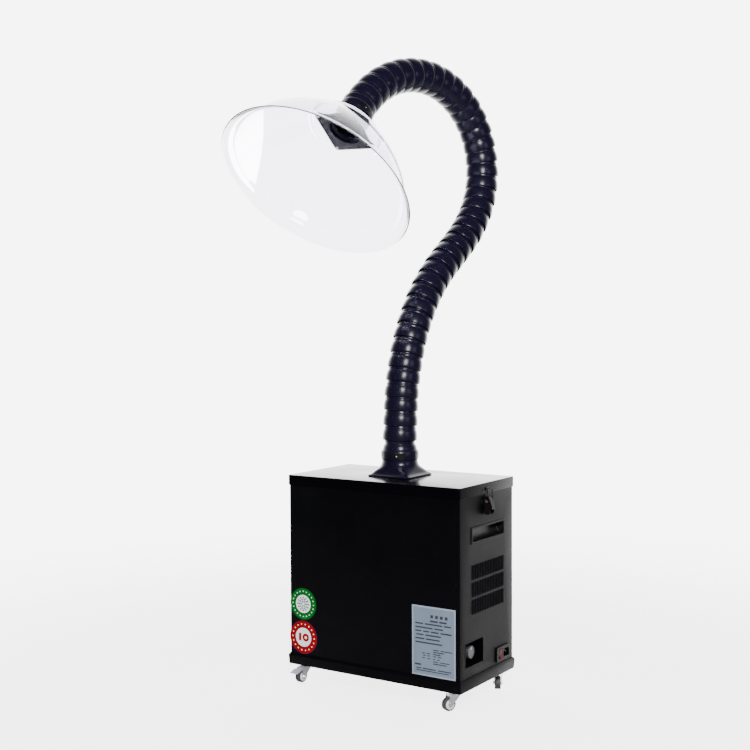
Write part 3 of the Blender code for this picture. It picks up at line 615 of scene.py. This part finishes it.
def make_latches():
    for word in ("right", "left"):
        for part in ("base", "lever", "keeper"):
            keep_node(f"latch_{word}_{part}", DARK_METAL, 0.0003)
        keep_node(f"latch_{word}_bail", DARK_METAL, 0.0001)
        side = 1 if word == "right" else -1
        low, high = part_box(f"latch_{word}_base")
        face = (high.x if side < 0 else low.x) + side * 0.0013
        facing = Matrix.Rotation(side * math.pi / 2, 4, "Y")
        seat = Matrix.Translation((face, (low.y + high.y) / 2, low.z + 0.0028)) @ facing
        screw_head(f"latch_{word}_screw", "cabinet", seat, 0.0019, DARK_METAL)
        pivot = Vector(JOINTS[f"latch_{word}_lever_hinge"]["pos_m"])
        outline = [
            (-0.0050, -0.0112), (0.0050, -0.0112), (0.0075, -0.0150),
            (0.0082, -0.0290), (0.0062, -0.0335), (-0.0050, -0.0335),
        ]
        place = Matrix.Translation(pivot) @ Matrix.Diagonal((side, 1, 1, 1))
        for way in (-1, 1):
            near, far = sorted((way * 0.00825, way * 0.00862))
            cheek = prism("cheek", outline, near, far)
            label = "front" if way < 0 else "back"
            show(f"latch_{word}_cheek_{label}", cheek, "cabinet", DARK_METAL, place)


def make_castor(name):
    """Plate and fork from the CAD model, with a tyre, a pressed hub and axle nuts."""
    keep_node(f"{name}_plate", ZINC, 0.0003)
    keep_node(f"{name}_fork", ZINC, 0.0003)
    roll = JOINTS[f"{name}_roll"]
    hub, axis = Vector(roll["pos_m"]), Vector(roll["axis"])
    along = Matrix.Translation(hub) @ axis.to_track_quat("Z", "Y").to_matrix().to_4x4()
    radius, half = hub.z, 0.0065
    shoulder = 0.0024
    tread = [
        (0.0098, half - 0.0012), (0.0112, half),
        *arc((radius - shoulder, half - shoulder), shoulder, 60, 0, 4),
        *arc((radius - shoulder, shoulder - half), shoulder, 0, -60, 4),
        (0.0112, -half), (0.0098, 0.0012 - half),
    ]
    body = f"{name}_wheel"
    show(f"{name}_tyre", turned("tyre", tread, 64), body, TYRE, along, replaces=body)
    face = [(0.0028, 0.0), (0.0048, 0.0), (0.0054, 0.0014), (0.0088, 0.0020), (0.0100, 0.0008)]
    disc = [(r, half - sunk) for r, sunk in face] + [(r, sunk - half) for r, sunk in face[::-1]]
    show(f"{name}_hub", turned("hub", disc, 48), body, HUB_GREY, along)

    def nuts(bm):
        nut = [(0, -0.0008), (0.0036, -0.0008), (0.0036, 0.0006), (0.0030, 0.0012), (0, 0.0012)]
        for way, turn in ((-1, math.pi), (1, 0)):
            flat = Matrix.Translation((0, 0, way * 0.0092)) @ Matrix.Rotation(turn, 4, "X")
            add_turned(bm, nut, 6, flat)

    show(f"{name}_nuts", mesh_of("nuts", nuts), f"{name}_fork", ZINC, along, 0.0002)


# ---------------------------------------------------------------- arm


def arm_joint_balls():
    """Ball centres at the CAD joints, in order from the cabinet to the hood."""
    parents = {joint["child"]: joint for joint in frame["joints"]}
    return [Vector(parents[f"arm_section_{i + 1:02d}"]["pos_m"]) for i in range(ARM_SECTIONS)] + [
        Vector(parents["hood"]["pos_m"])
    ]


def between(before, low, high, after, t):
    """A point on a smooth curve from low to high."""
    lead, tail = (high - before) / 2, (after - low) / 2
    return (
        (2 * t**3 - 3 * t**2 + 1) * low + (t**3 - 2 * t**2 + t) * lead
        + (3 * t**2 - 2 * t**3) * high + (t**3 - t**2) * tail
    )


def frame_at(origin, direction):
    """A placement with Z along a direction and X as near the cabinet's X as it can be."""
    side = (Vector((1, 0, 0)) - direction.x * direction).normalized()
    turn = Matrix((side, direction.cross(side), direction)).transposed().to_4x4()
    return Matrix.Translation(origin) @ turn


def arm_segments():
    """(body, ball, next ball) of every segment, with the balls inside a section on the arm's curve."""
    joints = arm_joint_balls()
    found = []
    for i in range(ARM_SECTIONS):
        low, high = joints[i], joints[i + 1]
        before = joints[i - 1] if i else low - (high - low)
        after = joints[i + 2] if i + 2 < len(joints) else high + (high - low)
        count = FIRST_SECTION_SEGMENTS if i == 0 else 2
        balls = [between(before, low, high, after, k / count) for k in range(count + 1)]
        found += [(f"arm_section_{i + 1:02d}", a, b) for a, b in zip(balls, balls[1:])]
    return found


# A segment's bell outside and socket inside, as radius and distance from the ball it covers
BELL = [
    (0.0354, 0.0022), (0.0354, -0.0022), (0.0357, -0.0030), (0.0366, -0.0030), (0.0371, -0.0023),
    (0.0373, -0.0008), (0.0374, 0.0030), (0.0373, 0.0070), (0.0370, 0.0105), (0.0365, 0.0140),
    (0.0358, 0.0170), (0.0350, 0.0194), (0.0344, 0.0207), (0.0343, 0.0219), (0.0346, 0.0231),
    (0.0345, 0.0245), (0.0340, 0.0257),
]
SOCKET = [(0.0236, 0.0175), (0.0268, 0.0160), (0.0300, 0.0135), (0.0325, 0.0095), (0.0340, 0.0060)]
BALL_RADIUS = 0.0334


def ball_skin(centre, depth, steps=4):
    """The ball's outside from a depth below its centre up to it, and back down inside its bore."""
    heights = [-depth * (1 - i / steps) for i in range(steps + 1)]
    skin = [(math.sqrt(BALL_RADIUS**2 - h**2), centre + h) for h in heights]
    lip = [(BALL_RADIUS - 0.0002, centre + 0.0004), (0.0300, centre + 0.0004), (0.0265, centre + 0.002)]
    return [*skin, *lip, (0.0240, centre - 0.012)]


def make_arm():
    """One glossy bell for each segment, each over the ball of the one below."""
    shared = None
    shown = set()
    for number, (body, ball, following) in enumerate(arm_segments(), 1):
        pitch = (following - ball).length
        if shared is None:
            shared = turned("segment", [*BELL, *ball_skin(pitch, 0.0038), *SOCKET], SEGMENT_SIDES)
        node = None if body in shown else body
        shown.add(body)
        place = frame_at(ball, (following - ball).normalized())
        name = f"segment_{number:02d}"
        show(name, shared, body, ARM_BLACK, place, replaces=node)


def add_rings(bm, rows, sides=96):
    """A closed skin through rows of (half width, z, squareness), each a circle or a rounded square."""
    rings = []
    for half, z, squareness in rows:
        ring = []
        for i in range(sides):
            angle = 2 * math.pi * i / sides
            across, along = math.cos(angle), math.sin(angle)
            reach = half * (abs(across) ** squareness + abs(along) ** squareness) ** (-1 / squareness)
            ring.append(bm.verts.new((reach * across, reach * along, z)))
        rings.append(ring)
    for ring, after in zip(rings, rings[1:] + rings[:1]):
        for i in range(sides):
            j = (i + 1) % sides
            bm.faces.new((ring[i], ring[j], after[j], after[i]))


def round_rows(profile):
    return [(radius, z, 2) for radius, z in profile]


def flare_rows(neck, plate, wide, height, steps=12):
    """A trumpet from a round neck to a rounded square on a plate."""
    rows = []
    for i in range(steps + 1):
        t = i / steps
        spread = 1 - math.sqrt(1 - t * t) * 0.75 - 0.25 * (1 - t)
        squareness = 2 + (FLANGE_SQUARENESS - 2) * t**4
        rows.append((neck + (wide - neck) * spread, plate + height * (1 - t), squareness))
    return rows


def make_clips(name, body, place, radius, low, high):
    """Four snap tongues standing proud of a collar, each with a rivet."""
    section = [
        (radius - 0.001, low), (radius + 0.0006, low), (radius + 0.0012, high), (radius - 0.001, high)
    ]

    def tongues(bm):
        steps = 10
        for quarter in range(4):
            heading = math.radians(CLIP_HEADING + 90 * quarter)
            rows = []
            for i in range(steps + 1):
                angle = heading + math.radians(26) * (2 * i / steps - 1)
                spoke = Vector((math.cos(angle), math.sin(angle), 0))
                rows.append([bm.verts.new(spoke * r + Vector((0, 0, z))) for r, z in section])
            for row, after in zip(rows, rows[1:]):
                for i in range(4):
                    j = (i + 1) % 4
                    bm.faces.new((row[i], row[j], after[j], after[i]))
            bm.faces.new(rows[0])
            bm.faces.new(rows[-1][::-1])

    mesh = mesh_of("clips", tongues)
    show(f"{name}_clips", mesh, body, MOULDED_BLACK, place, 0.0003)

    def rivets(bm):
        dome = [(0, 0), (0.0016, 0), (0.0014, 0.0005), (0.0008, 0.0008), (0, 0.0009)]
        outward = Matrix.Rotation(math.pi / 2, 4, "Y")
        for quarter in range(4):
            turn = Matrix.Rotation(math.radians(CLIP_HEADING + 90 * quarter), 4, "Z")
            seat = turn @ Matrix.Translation((radius + 0.0007, 0, (low + high) / 2)) @ outward
            add_turned(bm, dome, 20, seat)

    show(f"{name}_rivets", mesh_of("rivets", rivets), body, ZINC, place)


def quarter_turn(i):
    """Towards a corner of a square flange."""
    return Matrix.Rotation(math.radians(45 + 90 * i), 4, "Z")


def make_base_flange():
    joints = arm_joint_balls()
    place = frame_at(joints[0], Vector((0, 0, 1)))
    low_corner, high_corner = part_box("arm_base_flange")
    half = (high_corner.x - low_corner.x) / 2
    plate = low_corner.z - joints[0].z
    top = plate + FLANGE_PLATE
    collar = [
        (0.0352, -0.0150), (0.0362, -0.0190), (0.0372, -0.0225), (0.0390, -0.0248), (0.0398, -0.0268),
        (0.0399, -0.0420), (0.0396, -0.0438), (0.0386, -0.0446),
    ]
    inner = [(0.0262, 0.0), (0.0236, -0.0145), (0.0288, -0.0400), (0.0290, plate)]
    rows = [
        *round_rows([*ball_skin(0.0, 0.0096)[4::-1], *collar]),
        *flare_rows(0.0386, top, half - 0.0015, -0.0460 - top),
        (half, top - 0.0010, FLANGE_SQUARENESS), (half, plate, FLANGE_SQUARENESS),
        *round_rows(inner[::-1]),
    ]
    mesh = mesh_of("base_flange", lambda bm: add_rings(bm, rows))
    show("base_flange", mesh, "lid", ARM_BLACK, place, 0.0005, "arm_base_flange")
    make_clips("base", "lid", place, 0.0397, -0.0415, -0.0285)
    for i in range(4):
        corner = quarter_turn(i) @ Matrix.Translation((half * SCREW_REACH, 0, top - 0.0006))
        screw_head(f"base_screw_{i + 1}", "lid", place @ corner, 0.0030, DARK_METAL)


def make_hood_flange():
    """The last bell, its collar and flare, and the plate inside the dome on screws with spacers."""
    place = frame_at(arm_segments()[-1][2], hood_axis())
    plate, half = HOOD_PLATE_AT, FLANGE_HALF
    face = plate + FLANGE_PLATE
    collar = [
        (0.0369, 0.0120), (0.0377, 0.0130), (0.0381, 0.0155),
        (0.0379, 0.0300), (0.0372, 0.0318), (0.0370, 0.0400),
    ]
    inner = [(0.0350, face), (0.0345, plate - 0.0040), (0.0300, plate - 0.0080), (0.0300, 0.0300)]
    rows = [
        *round_rows([*BELL[:9], *collar]),
        *flare_rows(0.0370, plate, half - 0.0015, 0.0420 - plate),
        (half, plate + 0.0010, FLANGE_SQUARENESS), (half, face, FLANGE_SQUARENESS),
        *round_rows([*inner, *SOCKET]),
    ]
    mesh = mesh_of("duct_flange", lambda bm: add_rings(bm, rows))
    show("duct_flange", mesh, "hood", ARM_BLACK, place, 0.0005, "hood_flange")
    make_clips("hood", "hood", place, 0.0378, 0.0160, 0.0285)
    seat, reach = HOOD_BOSS[1], half * SCREW_REACH
    for i in range(4):
        spoke = place @ quarter_turn(i) @ Matrix.Translation((reach, 0, 0))
        screw_head(f"hood_screw_{i + 1}", "hood", spoke @ Matrix.Translation((0, 0, face)), 0.0032)
        stem = [(0, seat + HOOD_WALL), (0.0042, seat + HOOD_WALL), (0.0042, plate), (0, plate)]
        show(f"hood_spacer_{i + 1}", turned("spacer", stem, 24), "hood", ZINC, spoke, 0.0003)
        nut = [(0, -0.0030), (0.0042, -0.0030), (0.0048, -0.0024), (0.0048, 0.0), (0, 0.0)]
        cap = spoke @ Matrix.Translation((0, 0, seat))
        show(f"hood_nut_{i + 1}", turned("nut", nut, 6), "hood", ZINC, cap, 0.0003)


def hood_axis():
    """From the last ball to the middle of the rim of the CAD dome."""
    ball = arm_joint_balls()[-1]
    reach = HOOD_RIM[1] * 1.3
    rim = [v.co for v in NODES["hood"].data.vertices if (v.co - ball).length > reach]
    return (sum(rim, Vector()) / len(rim) - ball).normalized()


def make_hood():
    """A clear blown dome with a turned-out skirt, a flat crown round the neck and polished edges."""
    skirt_radius, skirt_at = HOOD_SKIRT
    rise = skirt_at - HOOD_DOME_TOP
    steps = 44
    outside = [
        (HOOD_RIM[0] - 0.0004, HOOD_RIM[1] - 0.0010),
        (0.2005, 0.2165), (0.1945, 0.2120), (0.1914, 0.2095), (0.1900, 0.2070),
    ]
    for i in range(3, steps + 1):
        angle = math.pi / 2 * i / steps
        radius = skirt_radius * math.cos(angle) ** (2 / HOOD_CURVE)
        if radius > HOOD_BOSS_FOOT[0] + 0.005:
            outside.append((radius, skirt_at - rise * math.sin(angle) ** (2 / HOOD_CURVE)))
    foot = Vector(HOOD_BOSS_FOOT)
    outside += [
        tuple(foot + Vector((0.0020, 0.0012))), tuple(foot), (0.0795, 0.0715), (0.0778, 0.0678),
        (0.0762, 0.0664), HOOD_BOSS, (HOOD_HOLE_RADIUS, HOOD_BOSS[1]),
    ]
    inside = []
    for before, (radius, z), after in zip(outside, outside[1:], outside[2:]):
        along = Vector((after[0] - before[0], after[1] - before[1])).normalized()
        inside.append((radius + along.y * HOOD_WALL, z - along.x * HOOD_WALL))
    edge = arc((HOOD_RIM[0] - HOOD_WALL / 2, HOOD_RIM[1] - 0.0012), HOOD_WALL / 2, 200, 10, 7)
    inside.append((HOOD_HOLE_RADIUS, HOOD_BOSS[1] + HOOD_WALL))
    dome = turned("hood_dome", [*outside, *inside[::-1], *edge], 144)
    place = frame_at(arm_joint_balls()[-1], hood_axis())
    show("hood_dome", dome, "hood", CLEAR, place, replaces="hood")


# ---------------------------------------------------------------- inside


def make_inside():
    low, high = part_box("pre_filter")
    place = Matrix.Translation((low + high) / 2)
    half = (high - low) / 2
    pad = block("pre_filter_pad", -half, half)
    show("pre_filter_pad", pad, "cabinet", FOAM, place, 0.003, "pre_filter")

    low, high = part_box("main_filter")
    centre, half = (low + high) / 2, (high - low) / 2
    place = Matrix.Translation(centre)
    rim = 0.008

    def pleats(bm):
        folds, span, bottom = 84, 2 * (half.x - rim), -half.z + 0.004
        depths = [0.006 if i % 2 else 0.004 for i in range(folds + 1)]
        tops = [(-span / 2 + span * i / folds, half.z - depth) for i, depth in enumerate(depths)]
        add_prism(bm, [(span / 2, bottom), (-span / 2, bottom), *tops], rim - half.y, half.y - rim)

    mesh = mesh_of("filter_pleats", pleats)
    show("filter_pleats", mesh, "cabinet", FILTER_MEDIUM, place)
    well = block("well", (rim - half.x, rim - half.y, -1), (half.x - rim, half.y - rim, 1))
    case = carved("filter_case", block("case", -half, half), [well])
    show("filter_case", case, "cabinet", FILTER_MEDIUM, place, 0.0008, "main_filter")
    for node in ("filter_shelf", "blower_housing"):
        keep_node(node, GALVANISED, 0.0004)
    keep_node("blower_impeller", MOULDED_BLACK)
    keep_node("blower_motor", DARK_METAL, 0.0008)
    keep_node("control_board", BOARD, 0.0002)


# ---------------------------------------------------------------- stickers

STICKER = 0.00025


def front_place(x, z):
    """On the front face, with X to the right, Y up and Z out of it."""
    return CABINET @ Matrix.Translation((x, FRONT_Y, z)) @ Matrix.Rotation(math.pi / 2, 4, "X")


def disc_profile(outer, layers, inner=0.0):
    """A disc or ring as many sticker layers high."""
    top = layers * STICKER
    return [(inner, 0.0), (outer, 0.0), (outer, top), (inner, top)]


def spot_at(reach, share):
    """A place at a distance from the middle, a share of a turn round it."""
    angle = 2 * math.pi * share
    return Matrix.Translation((reach * math.cos(angle), reach * math.sin(angle), 0))


def round_sticker(name, place, radius, ring_ink, line_ink, dots, glyph):
    """A coloured ring with evenly spaced dots round a pale middle with a plain mark."""
    middle = radius * 0.57
    layers = (
        ("edge", disc_profile(radius, 1), 48, line_ink),
        ("ring", disc_profile(radius * 0.975, 1.4), 96, ring_ink),
        ("line", disc_profile(middle * 1.06, 1.8), 72, line_ink),
        ("middle", disc_profile(middle, 2.2), 72, WHITE_INK),
    )
    for layer, profile, sides, layer_ink in layers:
        show(f"{name}_{layer}", turned(layer, profile, sides), "cabinet", layer_ink, place)

    def dot_ring(bm):
        for i in range(dots):
            add_turned(bm, disc_profile(radius * 0.042, 1.8), 16, spot_at(radius * 0.79, i / dots))

    show(f"{name}_dots", mesh_of("dots", dot_ring), "cabinet", WHITE_INK, place)
    show(f"{name}_mark", mesh_of("mark", glyph), "cabinet", ring_ink, place)


def petal_mark(radius):
    """A plain rosette of small rounds."""

    def build(bm):
        for ring, count in ((0.15, 6), (0.28, 10), (0.40, 12)):
            for i in range(count):
                add_turned(bm, disc_profile(radius * 0.055, 2.6), 14, spot_at(radius * ring, i / count))

    return build


def ring_mark(radius):
    """A short bar beside a small ring."""

    def build(bm):
        bar = ((-0.34, -0.22), (-0.16, -0.22), (-0.16, 0.24), (-0.34, 0.24))
        add_extrusion(bm, [(x * radius, y * radius, 0.0) for x, y in bar], (0, 0, 2.6 * STICKER))
        around = Matrix.Translation((0.17 * radius, 0, 0))
        add_turned(bm, disc_profile(0.24 * radius, 2.6, 0.09 * radius), 40, around)

    return build


def make_label():
    """A grey data plate with rows of plain bars where a maker would print."""
    width, height = 0.103, 0.144
    place = front_place(0.152, 0.1375)

    def plate(margin, thickness):
        x, y = width / 2 - margin, height / 2 - margin
        return mesh_of("plate", lambda bm: add_block(bm, (-x, -y, 0), (x, y, thickness)))

    show("label_edge", plate(0.0, STICKER), "cabinet", LABEL_EDGE, place, 0.0001)
    show("label_face", plate(0.0032, 1.5 * STICKER), "cabinet", LABEL_GREY, place)
    # Height from the bottom, bar thickness, and where the bars start and end as shares of the width
    rows = (
        (0.124, 0.0062, ((0.43, 0.49), (0.54, 0.60), (0.65, 0.71), (0.76, 0.82))),
        (0.1145, 0.0034, ((0.42, 0.60), (0.63, 0.80))),
        (0.1075, 0.0028, ((0.08, 0.26), (0.30, 0.70), (0.74, 0.90))),
        (0.0995, 0.0028, ((0.08, 0.48), (0.52, 0.72))),
        (0.0920, 0.0028, ((0.08, 0.22), (0.26, 0.40), (0.44, 0.62), (0.66, 0.91))),
        (0.0845, 0.0028, ((0.10, 0.27), (0.31, 0.67))),
        (0.0765, 0.0028, ((0.08, 0.29), (0.33, 0.64))),
        (0.0685, 0.0028, ((0.08, 0.70),)),
        (0.0560, 0.0020, ((0.49, 0.62), (0.66, 0.93))),
        (0.0515, 0.0020, ((0.49, 0.74),)),
        (0.0470, 0.0020, ((0.24, 0.30), (0.34, 0.42), (0.49, 0.66))),
        (0.0425, 0.0018, ((0.26, 0.32), (0.36, 0.42), (0.49, 0.56), (0.60, 0.68))),
        (0.0370, 0.0018, ((0.24, 0.30), (0.36, 0.42), (0.49, 0.54), (0.58, 0.64))),
        (0.0320, 0.0018, ((0.49, 0.60), (0.64, 0.86))),
        (0.0275, 0.0020, ((0.49, 0.80),)),
        (0.0225, 0.0034, ((0.07, 0.21),)),
        (0.0150, 0.0022, ((0.10, 0.22), (0.25, 0.55), (0.60, 0.90))),
        (0.0105, 0.0018, ((0.10, 0.85),)),
    )

    def bars(bm):
        for up, thick, spans in rows:
            y = up - height / 2
            for start, end in spans:
                left, right = start * width - width / 2, end * width - width / 2
                add_block(bm, (left, y - thick / 2, 0), (right, y + thick / 2, 1.9 * STICKER))

    show("label_bars", mesh_of("label_bars", bars), "cabinet", LABEL_INK, place)


def make_stickers():
    green, red = 0.035, 0.0365
    high, low = front_place(-0.178, 0.1755), front_place(-0.178, 0.1022)
    round_sticker("green_sticker", high, green, GREEN_INK, DEEP_GREEN_INK, 20, petal_mark(green))
    round_sticker("red_sticker", low, red, RED_INK, NAVY_INK, 18, ring_mark(red))
    make_label()


# ---------------------------------------------------------------- studio


def make_floor():
    """A pale, half-clear floor that fades out far from the object."""
    foot = (CENTRE.x, CENTRE.y, -0.0005)
    bpy.ops.mesh.primitive_circle_add(vertices=96, radius=9, fill_type="NGON", location=foot)
    floor = bpy.context.object
    floor.name = "floor"
    made = bpy.data.materials.new("floor_pale")
    made.use_nodes = True
    nodes, links = made.node_tree.nodes, made.node_tree.links
    shader = nodes["Principled BSDF"]
    shader.inputs["Base Color"].default_value = (0.93, 0.93, 0.93, 1)
    shader.inputs["Roughness"].default_value = 0.9
    shader.inputs["Specular IOR Level"].default_value = 0.1
    place = nodes.new("ShaderNodeTexCoord")
    length = nodes.new("ShaderNodeVectorMath")
    length.operation = "LENGTH"
    fade = nodes.new("ShaderNodeMapRange")
    fade.interpolation_type = "SMOOTHSTEP"
    fade.inputs["From Min"].default_value = 0.5
    fade.inputs["From Max"].default_value = 2.2
    fade.inputs["To Min"].default_value = 0.45
    fade.inputs["To Max"].default_value = 0.0
    links.new(place.outputs["Object"], length.inputs[0])
    links.new(length.outputs["Value"], fade.inputs["Value"])
    links.new(fade.outputs["Result"], shader.inputs["Alpha"])
    floor.data.materials.append(made)


def add_light(name, place, aim, size, power):
    lamp = bpy.data.lights.new(name, "AREA")
    lamp.shape = "DISK"
    lamp.size = size
    lamp.energy = power
    made = bpy.data.objects.new(name, lamp)
    bpy.context.scene.collection.objects.link(made)
    made.location = CENTRE + Vector(place)
    made.rotation_euler = (CENTRE + Vector(aim) - made.location).to_track_quat("-Z", "Y").to_euler()


def make_world():
    """A white room whose far wall is the brightest, so that it shines along the lid and the edges."""
    world = bpy.data.worlds.new("studio")
    bpy.context.scene.world = world
    world.use_nodes = True
    nodes, links = world.node_tree.nodes, world.node_tree.links
    backdrop = nodes["Background"]
    backdrop.inputs["Color"].default_value = (1, 1, 1, 1)
    backdrop.inputs["Strength"].default_value = BACKDROP
    room = nodes.new("ShaderNodeBackground")
    room.inputs["Color"].default_value = (1, 1, 1, 1)
    place = nodes.new("ShaderNodeTexCoord")
    towards = nodes.new("ShaderNodeVectorMath")
    towards.operation = "DOT_PRODUCT"
    towards.inputs[1].default_value = CAMERA_AIM.normalized()
    level = nodes.new("ShaderNodeMapRange")
    level.interpolation_type = "SMOOTHSTEP"
    level.inputs["From Min"].default_value = -0.35
    level.inputs["From Max"].default_value = 1.0
    fall = nodes.new("ShaderNodeMath")
    fall.operation = "POWER"
    fall.inputs[1].default_value = 3.0
    strength = nodes.new("ShaderNodeMath")
    strength.operation = "MULTIPLY_ADD"
    strength.inputs[1].default_value = BACKDROP
    strength.inputs[2].default_value = 0.05
    links.new(place.outputs["Generated"], towards.inputs[0])
    links.new(towards.outputs["Value"], level.inputs["Value"])
    links.new(level.outputs["Result"], fall.inputs[0])
    links.new(fall.outputs["Value"], strength.inputs[0])
    links.new(strength.outputs["Value"], room.inputs["Strength"])
    path = nodes.new("ShaderNodeLightPath")
    seen = nodes.new("ShaderNodeMath")
    seen.operation = "MAXIMUM"
    links.new(path.outputs["Is Camera Ray"], seen.inputs[0])
    links.new(path.outputs["Is Transmission Ray"], seen.inputs[1])
    mix = nodes.new("ShaderNodeMixShader")
    links.new(seen.outputs["Value"], mix.inputs["Fac"])
    links.new(room.outputs["Background"], mix.inputs[1])
    links.new(backdrop.outputs["Background"], mix.inputs[2])
    links.new(mix.outputs["Shader"], nodes["World Output"].inputs["Surface"])


def make_camera():
    aim = CAMERA_AIM.normalized()
    right = aim.cross(Vector((0, 0, 1))).normalized()
    up = right.cross(aim)
    level, lift = math.cos(CAMERA_ROLL), math.sin(CAMERA_ROLL)
    right, up = level * right + lift * up, level * up - lift * right
    lens = bpy.data.cameras.new("camera")
    lens.lens = FOCAL_LENGTH
    lens.sensor_width = 36.0
    made = bpy.data.objects.new("camera", lens)
    bpy.context.scene.collection.objects.link(made)
    turn = Matrix((right, up, -aim)).transposed().to_4x4()
    made.matrix_world = Matrix.Translation(CENTRE + CAMERA_PLACE) @ turn
    bpy.context.scene.camera = made


def make_studio():
    make_floor()
    add_light("key", (1.75, -2.10, 1.85), (0, 0, 0.70), 0.95, 190)
    add_light("side", (3.0, -0.4, 1.3), (0.1, 0, 0.4), 1.2, 10)
    add_light("left_rim", (-2.6, 1.7, 1.6), (0, 0, 0.8), 1.4, 40)
    make_world()
    make_camera()


make_studio()
make_shell()
make_lid()
make_tray()
make_handle("handle_cup_right", 1)
make_handle("handle_cup_left", -1)
make_speed_control()
make_inlet()
make_latches()
for castor in ("castor_fl", "castor_fr", "castor_bl", "castor_br"):
    make_castor(castor)
keep_node("castor_fl_pedal", PEDAL_GREY, 0.0003)
make_arm()
make_base_flange()
make_hood_flange()
make_hood()
make_inside()
make_stickers()
